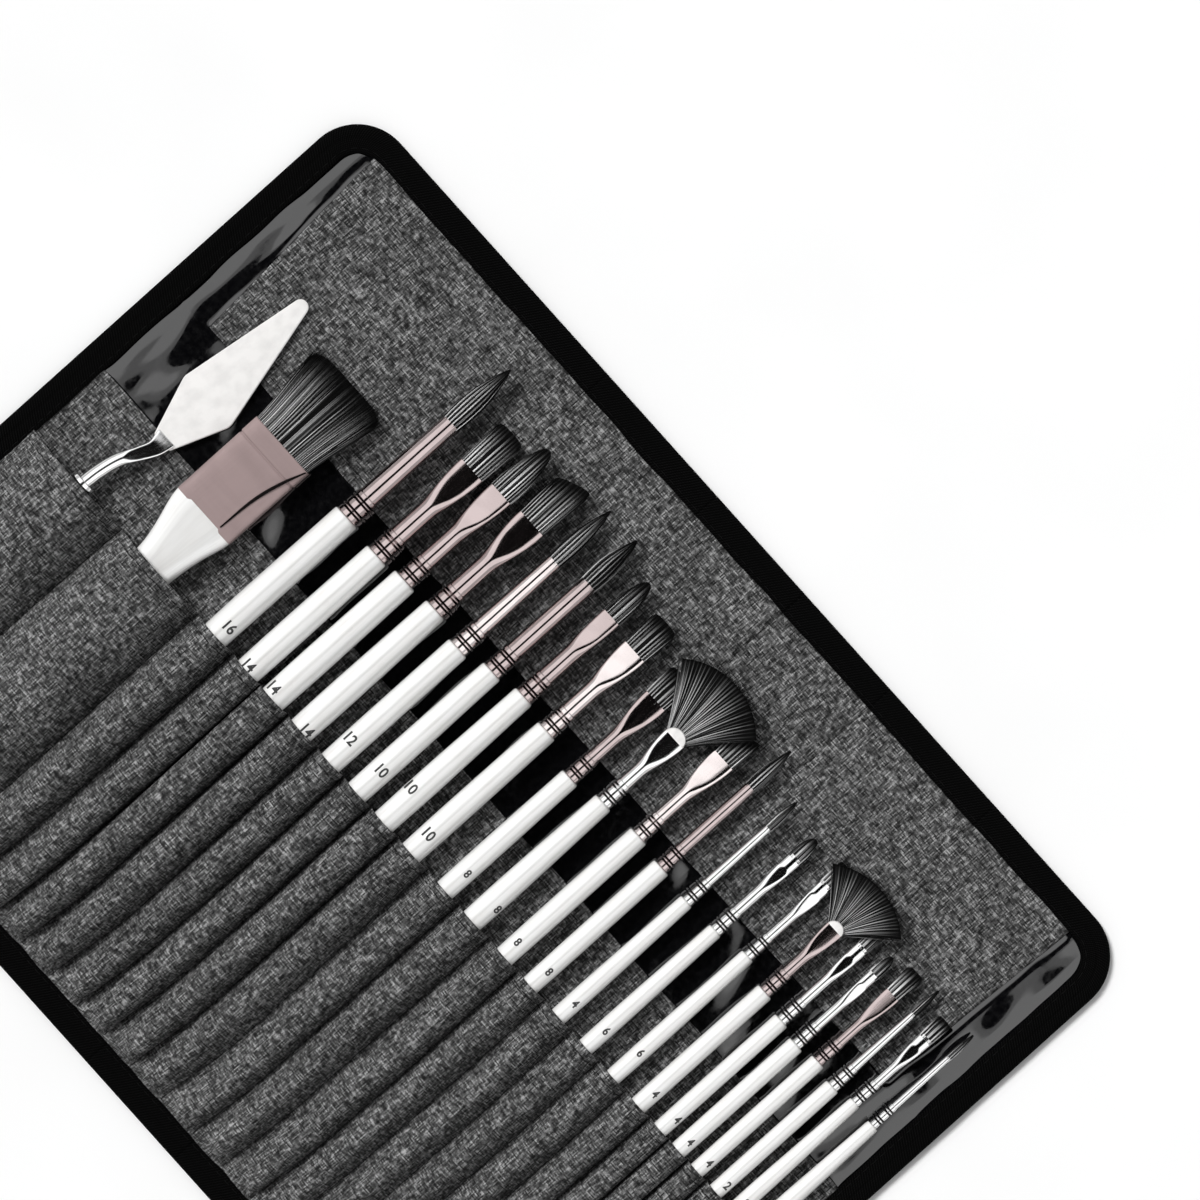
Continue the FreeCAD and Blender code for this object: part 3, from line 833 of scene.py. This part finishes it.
# The tape's middle surface as (distance in from the case's edge, height), from its top hem to its lower hem
TAPE_PROFILE = np.array([
    (10.0, 2.6), (9.7, 2.76), (9.0, 2.86), (7.8, 2.94), (6.6, 3.0), (5.6, 3.02), (5.1, 2.98), (4.75, 2.76),
    (4.4, 2.96), (3.6, 3.0), (2.6, 2.96), (1.7, 2.84), (0.9, 2.55), (0.4, 2.1), (0.26, 1.55), (0.38, 1.0),
    (0.85, 0.55), (1.7, 0.36), (3.2, 0.31), (5.0, 0.3), (7.0, 0.3), (9.0, 0.32), (9.9, 0.46),
])
TAPE_THICK = 0.5


def edge_path(piece, step=1.0):
    """The case's edge over one piece, anticlockwise, as runs of (x, y, inward x, inward y)."""
    left, right = ENDS[piece - 1], ENDS[piece]

    def straight(x0, y0, x1, y1, nx, ny):
        count = int(math.hypot(x1 - x0, y1 - y0) / step) + 1
        t = np.linspace(0, 1, count)[:, None]
        place = np.array([[x0, y0]]) * (1 - t) + np.array([[x1, y1]]) * t
        return np.hstack([place, np.broadcast_to([[nx, ny]], place.shape)])

    def bend(cx, cy, start):
        a = np.radians(np.linspace(start, start + 90, 30))[1:-1]
        inward = -np.stack([np.cos(a), np.sin(a)], -1)
        return np.hstack([np.array([[cx, cy]]) - CORNER * inward, inward])

    far_x, far_y = HALF_X - CORNER, HALF_Y - CORNER
    lower = straight(max(left, -far_x), -HALF_Y, min(right, far_x), -HALF_Y, 0, 1)
    upper = straight(min(right, far_x), HALF_Y, max(left, -far_x), HALF_Y, 0, -1)
    if piece == 1:
        side = straight(-HALF_X, far_y, -HALF_X, -far_y, 1, 0)
        return [np.vstack([upper, bend(-far_x, far_y, 90), side, bend(-far_x, -far_y, 180), lower])]
    if piece == 6:
        side = straight(HALF_X, -far_y, HALF_X, far_y, -1, 0)
        return [np.vstack([lower, bend(far_x, -far_y, 270), side, bend(far_x, far_y, 0), upper])]
    return [lower, upper]


def along_edge(run, inset, z):
    """Points at a distance in from the case's edge. inset and z are numbers, or rows or columns of them."""
    return stacked(run[:, :1] + inset * run[:, 2:3], run[:, 1:2] + inset * run[:, 3:4], z)


def make_binding(piece):
    mesh, seams = Mesh(), Mesh()
    across = distance_along(TAPE_PROFILE)
    inset, z = TAPE_PROFILE.T
    for run in edge_path(piece):
        x, y = run[:, :1], run[:, 1:2]
        uneven = 0.22 * ripple(x, y, 26, 51) * (inset > 9.5)
        lift = 0.05 * ripple(x + 40, y, 18, 52) * (z > 2.0)
        lengths = distance_along(run[:, :2])
        mesh.grid(along_edge(run, inset + uneven, z + lift), stacked(lengths[:, None], across) * MM)
        for stitch_z, up, radius in ((3.13, 1, 0.18), (0.1, -1, 0.14)):
            add_stitches(seams, along_edge(run, 8.5, stitch_z)[:, 0], (0, 0, up), 3.0, 4.0, radius)
    obj = mesh.object(f"binding_tape_{piece}", TAPE)
    thicken(obj, TAPE_THICK)
    bend_with_fold(obj)
    stand_for(piece, "edge_binding")
    stitches = seams.object(f"tape_stitches_{piece}", BLACK_THREAD)
    bend_with_fold(stitches)


# --- hair


STRAND = 0.4                                     # the width of a strand; one in three is bright, partly paler hair and partly painted sheen
FAN_STRANDS, WASH_STRANDS = 90, 96


def strand_tones_and_sheen(across, strands, seed):
    """Hair lies in strands, each with a shade of its own: every third strand is bright, partly a paler hair
    and partly painted sheen, and the dark strands between are partly painted shade. across runs from -1 to 1
    over the bundle.
    """
    rng = np.random.default_rng(seed)
    # Every third strand bright, the rest dark: partly real hair tones, partly painted sheen and painted shade
    # between strands
    bright = np.arange(strands + 1) % 3 == seed % 3
    table = np.where(bright, rng.uniform(0.6, 1.05, strands + 1), rng.uniform(0.05, 0.6, strands + 1))
    return table[(np.clip((across + 1.04) / 2.08, 0, 1) * strands).astype(int)]


def add_hairs(mesh, place, count, strands, seed, radius, spread=0.22, depth=0.85, short=0.14):
    """Single hairs near the surface of a bundle.

    place(a, c, s) gives a point: a and c from -1 to 1 across the bundle and through it, s from 0 at the
    ferrule to 1 at the tip. depth is how far out of the bundle's middle the innermost hair is, short the
    most that a hair ends short of the tip, and spread how far hairs stray."""
    rng = np.random.default_rng(seed)
    angle = rng.uniform(0, 2 * math.pi, count)
    out = depth + (1.04 - depth) * rng.uniform(0, 1, count)
    a, c = out * np.cos(angle), out * np.sin(angle)
    end = 1 - short * rng.uniform(0, 1, count) ** 2
    s = np.linspace(0, 1, 8)[None, :] * end[:, None]
    x, y, z = place(a[:, None], c[:, None], s)
    sway = rng.normal(0, spread, (count, 1)) * s**1.5
    centre = stacked(x + sway + 0.3 * spread * np.sin(5 * s + angle[:, None]), y, z)
    thick = radius * np.interp(s, [0, 0.5, 0.85, 1.0], [1.0, 0.95, 0.6, 0.15])
    corners = np.radians([90, 210, 330])
    offset = stacked(np.cos(corners), 0, np.sin(corners))
    shade = 0.75 * strand_tones_and_sheen(a, strands, seed) + 0.25 * rng.uniform(0, 1, count)
    uvs = stacked(shade[:, None, None], s[:, :, None] + 0 * corners)
    mesh.tubes(centre[:, :, None] + offset * thick[:, :, None, None], uvs)


def add_core(mesh, place, strands, seed, fill=0.93, end=1.0):
    """The mass of the bundle under its outer hairs, in the same strands, a little darker: painted shade under
    the outer hairs.
    """
    s = np.linspace(0, end, 16)[:, None]
    angle = -turns(7 * strands)[None, :]
    points = stacked(*place(fill * np.cos(angle), fill * np.sin(angle), s))
    # 0.9: painted shade under the outer hairs
    mesh.rings(points, stacked(0.9 * strand_tones_and_sheen(np.cos(angle), strands, seed), s))


def thickness_at_mouth(b):
    if b.name.startswith(ROUND):
        return b.mouth
    return 0.3 * b.base + 0.8 if b.name.startswith("fan") else 0.5 * b.base + 0.3


def hair_shape(b, x, tip_y, z):
    """A brush's place(a, c, s) for add_hairs and add_core."""
    length, root = tip_y - b.mouth_y, 0.47 * b.mouth
    sink = 1.2
    if b.name.startswith(ROUND):
        at = [0, 0.15, 0.35, 0.55, 0.75, 0.9, 1.0]
        wide = [1.0, 1.09, 1.14, 1.02, 0.7, 0.34, 0.05]

        def place(a, c, s):
            r = root * np.interp(s, at, wide)
            return x + a * r, b.mouth_y - sink + s * (length + sink), z + c * r
        return place

    tip, root_z, tip_z = 0.53 * b.mouth, 0.46 * thickness_at_mouth(b), 0.3
    drop = ANGLE_DROP.get(b.name, 0.0)

    def place(a, c, s):
        a_wide, c_wide = powered(a, 0.75), powered(c, 0.75)
        if b.name.startswith("filbert"):
            end = length - 0.45 * length * (1 - np.sqrt(np.clip(1 - (0.97 * a_wide) ** 2, 0, 1)))
            narrow = 1 - 0.3 * s**3
        else:
            end = length - drop * (1 - a_wide) / 2 - 0.06 * length * a_wide**4
            narrow = 1.0
        px = x + a_wide * (root + (tip - root) * s) * narrow
        pz = z + c_wide * ((root_z * (1 + 0.12 * np.sin(math.pi * s))) * (1 - s) + tip_z * s)
        return px, b.mouth_y - sink + s * (end + sink), pz
    return place


def fan_shape(b, x, z, box):
    """The same for a fan, whose hairs spread from the ferrule's mouth to an arc."""
    spread = middle_and_half(box)[1][0]
    reach = box[1][1] - b.mouth_y
    sagitta = reach - FAN_RISE[b.name]
    radius = (spread**2 + sagitta**2) / (2 * sagitta)
    centre = reach - radius
    widest = math.asin(min(1, spread / radius))
    root = 0.4 * b.mouth
    tilt = math.tan(math.radians(14))

    def place(a, c, s):
        angle = widest * np.clip(a, -1.02, 1.02)
        end_x, end_y = radius * np.sin(angle), centre + radius * np.cos(angle)
        px = root * a * (1 - s) + end_x * (0.82 * s + 0.18 * s**2)
        py = -1.0 * (1 - s) + end_y * s
        height = py * tilt * (1 - 0.12 * s) + 0.3 + c * (0.55 + 0.35 * s)
        return x + px, b.mouth_y + py, z + height
    return place


# --- brushes


def piece_of(obj, body, slot, *nodes):
    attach(obj, body)
    if nodes:
        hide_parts(*nodes)


def make_handle(b, box, x, z):
    y = np.concatenate([
        HANDLE_FOOT_Y + np.array([0.0, 0.15, 0.6]), np.linspace(HANDLE_FOOT_Y + 1.5, b.top_y - 1.2, 60),
        b.top_y - np.array([0.8, 0.45, 0.2, 0.05, 0.0, 0.0]),
    ])
    r = handle_radius(b, box, y)
    r[:3] *= (0.45, 0.75, 0.95)
    r[-6:] = b.neck / 2 * np.array([1.0, 0.985, 0.95, 0.9, 0.85, 0.0])
    r[-1] = b.base / 2 - 0.6
    mesh = Mesh()
    mesh.rings(section(x, y, z, r, r, 40), girth=math.pi * b.neck)
    obj = with_edges_kept(mesh.object("handle_" + b.name, LACQUER), 50)
    piece_of(obj, b.name + "_brush", "handle_paint", b.name)


CRIMPS = (3.0, 7.4)                              # above the handle's top
CRIMP_GROOVE = 0.62                              # from a crimp's middle to the groove on either side


def crimped(up, depth):
    """How far the tube's wall stands out at a distance above the handle's top."""
    bead = 0.5 * depth * (ease((10.2 - up) / 0.5) - ease((0.4 - up) / 0.5))
    for middle in CRIMPS:
        for side in (-1, 1):
            bead = bead - depth * np.exp(-(((up - middle - side * CRIMP_GROOVE) / 0.26) ** 2))
        bead = bead + 0.5 * depth * np.exp(-(((up - middle) / 0.36) ** 2))
    return bead


def make_ferrule(b, x, z):
    """A drawn tube, crimped twice over the handle's tenon and pressed flat towards the mouth."""
    length = b.mouth_y - b.top_y
    up = np.unique(np.concatenate([
        np.arange(-0.5, 11.0, 0.16), np.linspace(11, length - 0.6, 46),
        length - np.array([0.45, 0.25, 0.1, 0.0]),
    ]))
    s = np.clip(up / length, 0, 1)
    bead = crimped(up, b.base * 0.06 + 0.2)
    thick = thickness_at_mouth(b)
    turned = ROLL.get(b.name, 0)
    if b.name.startswith(ROUND):
        half_x = half_z = b.base / 2 + (b.mouth - b.base) / 2 * s + bead
        power = 2.0 + 0 * s
    else:
        wide, flat = ease((s - 0.48) / 0.5), ease((s - 0.5) / 0.36)
        half_x = b.base / 2 * (1 - 0.06 * s) + (b.mouth / 2 - b.base / 2 * 0.94) * wide + bead
        half_z = b.base / 2 + (thick - b.base) / 2 * flat + bead
        rounding = 0.1 if b.name in STAYING_FLAT or abs(turned) > 8 else 0.95
        power = 2.0 + 3.0 * ease((s - 0.56) / 0.24) * (1 - rounding * ease((s - 0.82) / 0.045))
    lip_y, inward = b.mouth_y + np.array([0.02, -0.25, -1.5]), np.array([0.0, -0.22, -0.45])
    outer = section(x, b.top_y + up, z, half_x, half_z, 48, power)
    lips = section(x, lip_y, z, half_x[-1] + inward, half_z[-1] + inward, 48, power[-1])
    mesh = Mesh()
    mesh.rings(np.concatenate([outer, lips]), caps=False)
    mesh.roll(x, z, turned)
    slot = "ferrule_silver" if b.finish == "silver" else "ferrule_rose"
    piece_of(mesh.object("ferrule_" + b.name, METALS[b.finish]), b.name + "_brush", slot, b.name)

    # Thin near-black rings laid just over each crimp's two grooves: painted shade in the grooves
    crimp_shades = Mesh()
    for middle in CRIMPS:
        for side in (-1, 1):
            near = middle + side * CRIMP_GROOVE + np.linspace(-0.26, 0.26, 5)
            r = np.interp(near, up, half_x) + 0.03
            crimp_shades.rings(section(x, b.top_y + near, z, r, r, 48), caps=False)
    piece_of(crimp_shades.object("crimps_" + b.name, PAINTED_FOLD_SHADE), b.name + "_brush", slot)


def make_fan_cap(b, x, z):
    """The half-round lip that clamps the roots of a fan's hair."""
    arc = np.linspace(0, math.pi, 25)
    rings = []
    for lift, share in ((-0.5, 1.0), (0.5, 1.0), (0.95, 0.93), (1.1, 0.8)):
        r = 0.47 * b.mouth * share
        rings.append(stacked(x + r * np.cos(arc), b.mouth_y - 0.6 + 0.92 * r * np.sin(arc), z + 1.35 + lift))
    mesh = Mesh()
    mesh.rings(np.array(rings))
    piece_of(with_edges_kept(mesh.object("lip_" + b.name, SATIN), 40), b.name + "_brush", "ferrule_silver")


def make_hair(b, x, tip_y, z):
    seed = 100 + BRUSHES.index(b)
    mesh = Mesh()
    nodes = [b.name]
    if b.name.startswith("fan"):
        nodes.append(b.name + "_hair")
        place = fan_shape(b, x, z, millimetres(b.name + "_hair"))
        add_core(mesh, place, FAN_STRANDS, seed, 0.96, 0.93)
        add_hairs(mesh, place, 620, FAN_STRANDS, seed, 0.14, 0.35, 0.2, 0.16)
    else:
        place = hair_shape(b, x, tip_y, z)
        strands = max(8, int(b.mouth / STRAND))
        add_core(mesh, place, strands, seed)
        add_hairs(mesh, place, int(60 + 26 * b.mouth), strands, seed, 0.13 if b.mouth > 5 else 0.09, 0.16)
    mesh.roll(x, z, ROLL.get(b.name, 0))
    piece_of(mesh.object("hair_" + b.name, BRISTLE), b.name + "_brush", "bristle", *nodes)


def make_number(b, box, x, z):
    """The size number, printed on the top of the handle."""
    height = 4.0 if b.neck > 8 else 3.1
    curve = bpy.data.curves.new("number", "FONT")
    curve.body, curve.size, curve.align_x, curve.align_y = b.number, height / 0.72, "CENTER", "CENTER"
    curve.resolution_u, curve.offset = 3, 0.13
    text = bpy.data.objects.new("number", curve)
    scene.collection.objects.link(text)
    bpy.context.view_layer.update()
    flat = bpy.data.meshes.new_from_object(text.evaluated_get(bpy.context.evaluated_depsgraph_get()))
    bpy.data.objects.remove(text)
    finer = bmesh.new()
    finer.from_mesh(flat)
    bmesh.ops.triangulate(finer, faces=finer.faces)
    bmesh.ops.subdivide_edges(finer, edges=finer.edges, cuts=3, use_grid_fill=True)
    finer.to_mesh(flat)
    finer.free()
    points = np.array([v.co for v in flat.vertices])
    faces = [list(p.vertices) for p in flat.polygons]
    dx = points[:, 0] * 0.86 + b.number_dx
    y = points[:, 1] + b.number_y
    r = handle_radius(b, box, y) + 0.035
    lift = np.sqrt(np.maximum(r**2 - dx**2, 0.05))
    mesh = Mesh()
    mesh.add(stacked(x + dx, y, z + lift), stacked(dx, y) * MM, faces)
    piece_of(mesh.object("number_" + b.name, INK), b.name + "_brush", "handle_paint")


def make_brush(b):
    box = millimetres(b.name)
    (x, _, z), _ = middle_and_half(box)
    make_handle(b, box, x, z)
    make_ferrule(b, x, z)
    if b.name.startswith("fan"):
        make_fan_cap(b, x, z)
    make_hair(b, x, box[1][1], z)
    make_number(b, box, x, z)


# --- wash brush


BAND_POWER = 4.6                                 # how square the band's section is


def make_wash_band(x, z, half, thick, low, high):
    y = np.unique(np.concatenate([np.linspace(low - 0.8, high, 60), np.linspace(high - 9.5, high - 5.5, 26)]))
    groove = 0.32 * np.exp(-(((y - (high - 7.4)) / 0.42) ** 2))
    swell = 0.125 * ease((y - high + 7.4) / 0.8)
    outer = section(x, y, z, half - groove + swell, thick - groove + swell - 0.2, 96, BAND_POWER)
    lip_y, lip_x, lip_z = [high + 0.02, high - 0.4, high - 3], [0.0, -0.4, -0.5], [-0.2, -0.6, -0.7]
    lips = section(x, lip_y, z, half + lip_x, thick + lip_z, 96, BAND_POWER)
    mesh = Mesh()
    mesh.rings(np.concatenate([outer, lips]), caps=False)
    piece_of(mesh.object("wash_band", MAUVE), "wash_brush", "ferrule_rose", "wash_brush_ferrule")


def make_wash_fold_shade(right, top, low, high):
    """A thin near-black strip down the right side of the band, along its fold: painted shade where the band
    bends.
    """
    line = smooth_line([
        (right - 0.6, high - 0.3, top - 0.5), (right - 3.4, high - 9, top + 0.02),
        (right - 5.6, high - 20, top + 0.05), (right - 6.3, low + 1, top + 0.03),
    ], 40)
    width = 0.5 * np.sin(np.linspace(0.25, math.pi - 0.25, 40))[:, None] + 0.12
    around = turns(8)
    mesh = Mesh()
    mesh.rings(line[:, None] + stacked(width * np.cos(around), 0, -0.16 * np.sin(around)))
    piece_of(mesh.object("wash_band_fold", PAINTED_FOLD_SHADE), "wash_brush", "ferrule_rose")


def make_wash_grip(band_x, z, grip):
    (grip_x, _, _), (_, _, full) = middle_and_half(grip)
    foot, top = grip[0][1], grip[1][1]
    y = np.concatenate([
        foot + np.array([0.0, 0.3, 1.0]), np.linspace(foot + 2.5, -20, 26), np.linspace(-18, top - 1, 30),
        [top - 0.3, top],
    ])
    at = [foot, -72, MOUTH_Y, -11, -6, 0, 5, 9, top]
    half_x = softened(y, at, [6.5, 7.8, 8.3, 8.5, 9.3, 10.7, 12.2, 13.1, 13.3], 2.2, 9)
    half_z = full * softened(y, at, [0.62, 0.95, 1.0, 0.99, 0.97, 0.93, 0.88, 0.83, 0.8], 2.2, 9)
    for half in (half_x, half_z):
        half[:3] *= (0.7, 0.9, 0.98)
    x = grip_x + (band_x - grip_x) * ease((y + 14) / 22)
    mesh = Mesh()
    mesh.rings(section(x, y, z, half_x, half_z, 64, 2.0 + 1.8 * ease((y + 30) / 30)), girth=50.0)
    obj = with_edges_kept(mesh.object("wash_grip", LACQUER), 55)
    piece_of(obj, "wash_brush", "handle_paint", "wash_brush_handle")


def make_wash_hair(x, z, root_x, root_z, high, hair):
    tip_x, tip_z, length = middle_and_half(hair)[1][0], 1.0, hair[1][1] - high
    sink = 1.5

    def place(a, c, s):
        a_wide, c_wide = powered(a, 0.62), powered(c, 0.62)
        end = length * (1 - 0.09 * np.abs(a_wide) ** 6)
        px = x + a_wide * (root_x + (tip_x - root_x) * ease(s * 0.9))
        pz = z + c_wide * (root_z * (1 - s) + tip_z * s + 0.5 * np.sin(math.pi * s))
        return px, high - sink + s * (end + sink), pz

    mesh = Mesh()
    add_core(mesh, place, WASH_STRANDS, 90, 0.93, 0.97)
    add_hairs(mesh, place, 1500, WASH_STRANDS, 90, 0.13, 0.34, 0.9, 0.2)
    piece_of(mesh.object("wash_hair", BRISTLE), "wash_brush", "bristle", "wash_brush_hair")


def make_wash_brush():
    band, grip, hair = (millimetres("wash_brush_" + part) for part in ("ferrule", "handle", "hair"))
    (x, _, z), (half, _, thick) = middle_and_half(band)
    low, high = band[0][1], band[1][1]
    make_wash_band(x, z, half, thick, low, high)
    make_wash_fold_shade(x + half, z + thick, low, high)
    make_wash_grip(x, z, grip)
    make_wash_hair(x, z, half - 0.7, thick - 0.5, high, hair)


# --- palette knife


def rounded_corners(corners, steps=9):
    """A closed outline with each corner (x, y, radius) rounded off."""
    found = []
    p = np.array([c[:2] for c in corners], float)
    for i, (_, _, radius) in enumerate(corners):
        here = p[i]
        u, v = unit(p[i - 1] - here), unit(p[(i + 1) % len(p)] - here)
        half = math.acos(np.clip(u @ v, -1, 1)) / 2
        middle = here + unit(u + v) * radius / math.sin(half)
        start, end = (here + side * radius / math.tan(half) - middle for side in (u, v))
        first = math.atan2(start[1], start[0])
        turn = (math.atan2(end[1], end[0]) - first + math.pi) % (2 * math.pi) - math.pi
        for angle in np.linspace(first, first + turn, steps):
            found.append(middle + radius * np.array([math.cos(angle), math.sin(angle)]))
    return np.array(found)


def make_leaf(root_x, right_x, far_y, bottom):
    """The blade's flat leaf. The outline is a kite with a blunt tip and a narrow root."""
    outline = rounded_corners([
        (root_x - 3.6, far_y + 9.4, 2.8), (root_x - 11.9, 37.2, 5.0), (root_x - 3.9, 16.0, 1.0),
        (root_x + 3.9, 16.0, 1.0), (right_x, 37.2, 5.0),
    ])
    tangent = unit(np.roll(outline, -1, 0) - np.roll(outline, 1, 0))
    inward = stacked(-tangent[:, 1], tangent[:, 0])
    rings = []
    for inset, lift in ((0.2, 0.0), (0.0, 0.18), (0.0, 0.52), (0.3, 0.74), (0.9, 0.8)):
        rings.append(stacked(*(outline + inward * inset).T, bottom + lift))
    points = np.array(rings)
    mesh = Mesh()
    mesh.rings(points, points[..., :2] * MM)
    obj = with_edges_kept(mesh.object("knife_leaf", SATIN), 30)
    piece_of(obj, "palette_knife", "steel", "knife_blade")


def make_shank(root_x, bottom, ring_x, ring_z):
    """The cranked neck, flat at the leaf and round at the ring."""
    line = smooth_line([
        (root_x, 18.6, bottom + 0.6), (root_x, 13.2, bottom + 1.4), (root_x - 2.2, 7.6, bottom + 2.4),
        (root_x - 5.2, 1.2, bottom + 3.6), (ring_x + 0.5, -6.0, ring_z - 0.4), (ring_x, -12.4, ring_z),
    ], 60)
    t = np.linspace(0, 1, 60)[:, None]
    wide = np.interp(t, [0, 0.1, 0.25, 0.45, 0.8, 1], [3.9, 3.5, 2.7, 2.3, 2.5, 2.6])
    deep = np.interp(t, [0, 0.1, 0.25, 0.45, 0.8, 1], [0.55, 0.8, 1.1, 1.4, 2.0, 2.3])
    tangent = unit(np.gradient(line, axis=0))
    side = unit(np.cross(tangent, (0, 0, 1.0)))
    up = np.cross(side, tangent)
    power = 2 + 8 * ease((0.56 - t) / 0.16)
    around = turns(44)[None, :]
    across, through = wide * powered(np.cos(around), 2 / power), deep * powered(np.sin(around), 2 / power)
    mesh = Mesh()
    mesh.rings(line[:, None] + side[:, None] * across[..., None] + up[:, None] * through[..., None])
    piece_of(mesh.object("knife_shank", STEEL), "palette_knife", "steel", "knife_blade")


def make_collar(ring_x, ring_z, r, low, high):
    t = np.array([0.0, 0.04, 0.12, 0.88, 0.96, 1.0])
    size = r * np.array([0.82, 0.96, 1.0, 1.0, 0.96, 0.82])
    mesh = Mesh()
    mesh.rings(section(ring_x, low + t * (high - low), ring_z, size, size, 48))
    piece_of(mesh.object("knife_collar", STEEL), "palette_knife", "steel", "knife_ring")


def make_knife_grip(x, z, thick, foot, top):
    y = np.concatenate([
        foot + np.array([0.0, 0.2, 0.8]), np.linspace(foot + 2, top - 1, 50), [top - 0.4, top - 0.05],
    ])
    at = [foot, foot + 2, top - 85, top - 30, top]
    size = softened(y, at, thick * np.array([0.40, 0.64, 0.92, 1.0, 0.84]), 6, 9)
    size[:3] *= (0.5, 0.8, 0.95)
    size[-1] *= 0.9
    mesh = Mesh()
    mesh.rings(section(x, y, z, size, size, 40), girth=2 * math.pi * thick)
    piece_of(mesh.object("knife_grip", LACQUER), "palette_knife", "handle_paint", "knife_handle")


def make_knife():
    blade, ring, grip = (millimetres("knife_" + part) for part in ("blade", "ring", "handle"))
    (ring_x, _, ring_z), (r, _, _) = middle_and_half(ring)
    low, high = ring[0][1], ring[1][1]
    right_x, bottom = blade[1][0], blade[0][2]
    root_x = right_x - 11.9
    make_leaf(root_x, right_x, blade[1][1], bottom)
    make_shank(root_x, bottom, ring_x, ring_z)
    make_collar(ring_x, ring_z, r, low, high)
    make_knife_grip(ring_x, ring_z, middle_and_half(grip)[1][0], grip[0][1], low)


# --- stage


ROOM_LIGHT, KEY_LIGHT, SOFTBOX_GLOW = 0.54, 2.85, 0.68
TABLE_Z, TABLE_REACH = -0.4, 3000.0
DARK_STRIP = 0.2                                 # the dark strip overhead covers |x| below this share of z


def make_stage():
    """A white table, and a bright room with one narrow dark strip overhead, for the metal to reflect."""
    sides = (-TABLE_REACH, TABLE_REACH)
    corners = np.array([[(x, y, TABLE_Z) for x in sides] for y in sides])
    mesh = Mesh()
    mesh.grid(corners, corners[..., :2] * MM)
    p = Paint("table", Roughness=0.85, Specular_IOR_Level=0.1)
    p.colour(p.ramp(p.noise(p.scaled(p.uv, 0.01, 0.01)), (0.3, 0.9), (0.7, 0.93)))
    mesh.object("table", p.material, False)

    world = bpy.data.worlds.new("room")
    scene.world = world
    world.use_nodes = True
    nodes, links = world.node_tree.nodes, world.node_tree.links
    parts = nodes.new("ShaderNodeSeparateXYZ")
    links.new(nodes.new("ShaderNodeTexCoord").outputs["Generated"], parts.inputs[0])

    def math_node(operation, *inputs):
        made = nodes.new("ShaderNodeMath")
        made.operation = operation
        for socket, value in zip(made.inputs, inputs):
            if isinstance(value, bpy.types.NodeSocket):
                links.new(value, socket)
            else:
                socket.default_value = value
        return made.outputs[0]

    strip_half = math_node("MULTIPLY", parts.outputs[2], DARK_STRIP)
    outside = math_node("SUBTRACT", math_node("ABSOLUTE", parts.outputs[0]), strip_half)
    bright = math_node("MAXIMUM", math_node("MULTIPLY_ADD", outside, 40.0, 0.5), 0.004)
    background = nodes["Background"]
    background.inputs["Color"].default_value = (1, 1, 1, 1)
    strength = math_node("MULTIPLY", math_node("MINIMUM", bright, 1.0), ROOM_LIGHT)
    links.new(strength, background.inputs["Strength"])

    lamp = bpy.data.lights.new("key", "SUN")
    lamp.energy, lamp.angle = KEY_LIGHT, math.radians(22)
    key = bpy.data.objects.new("key", lamp)
    key.rotation_euler = (0, math.radians(-43), 0)
    key.visible_glossy = False
    scene.collection.objects.link(key)

    # two wide softboxes that show in the metal and the lacquer, on either side of the dark strip
    near, far, height, long = 0.52, 4.2, 2.6, 6.0
    for side in (-1, 1):
        box = bpy.data.lights.new("softbox", "AREA")
        box.shape, box.size, box.size_y = "RECTANGLE", far - near, long
        box.energy = SOFTBOX_GLOW * math.pi * (far - near) * long
        softbox = bpy.data.objects.new("softbox", box)
        softbox.location = (side * (near + far) / 2, 0, height)
        softbox.visible_camera = softbox.visible_diffuse = False
        scene.collection.objects.link(softbox)


def make_camera():
    data = bpy.data.cameras.new("camera")
    data.lens, data.sensor_width = 120.0, 36.0
    data.clip_start, data.clip_end = 0.05, 20.0
    camera = bpy.data.objects.new("camera", data)
    camera.location = (-0.0163, 0.0924, 1.385)
    camera.rotation_euler = (0, 0, math.radians(48.1))
    scene.collection.objects.link(camera)
    scene.camera = camera
    scene.view_settings.view_transform = "Standard"


# --- all of it

make_camera()
make_stage()
for number in range(1, 7):
    make_shell(number)
    make_film(number)
    make_flap(number)
    make_rear_wall(number)
    make_binding(number)
make_pockets()
make_knife()
make_wash_brush()
for brush in BRUSHES:
    make_brush(brush)
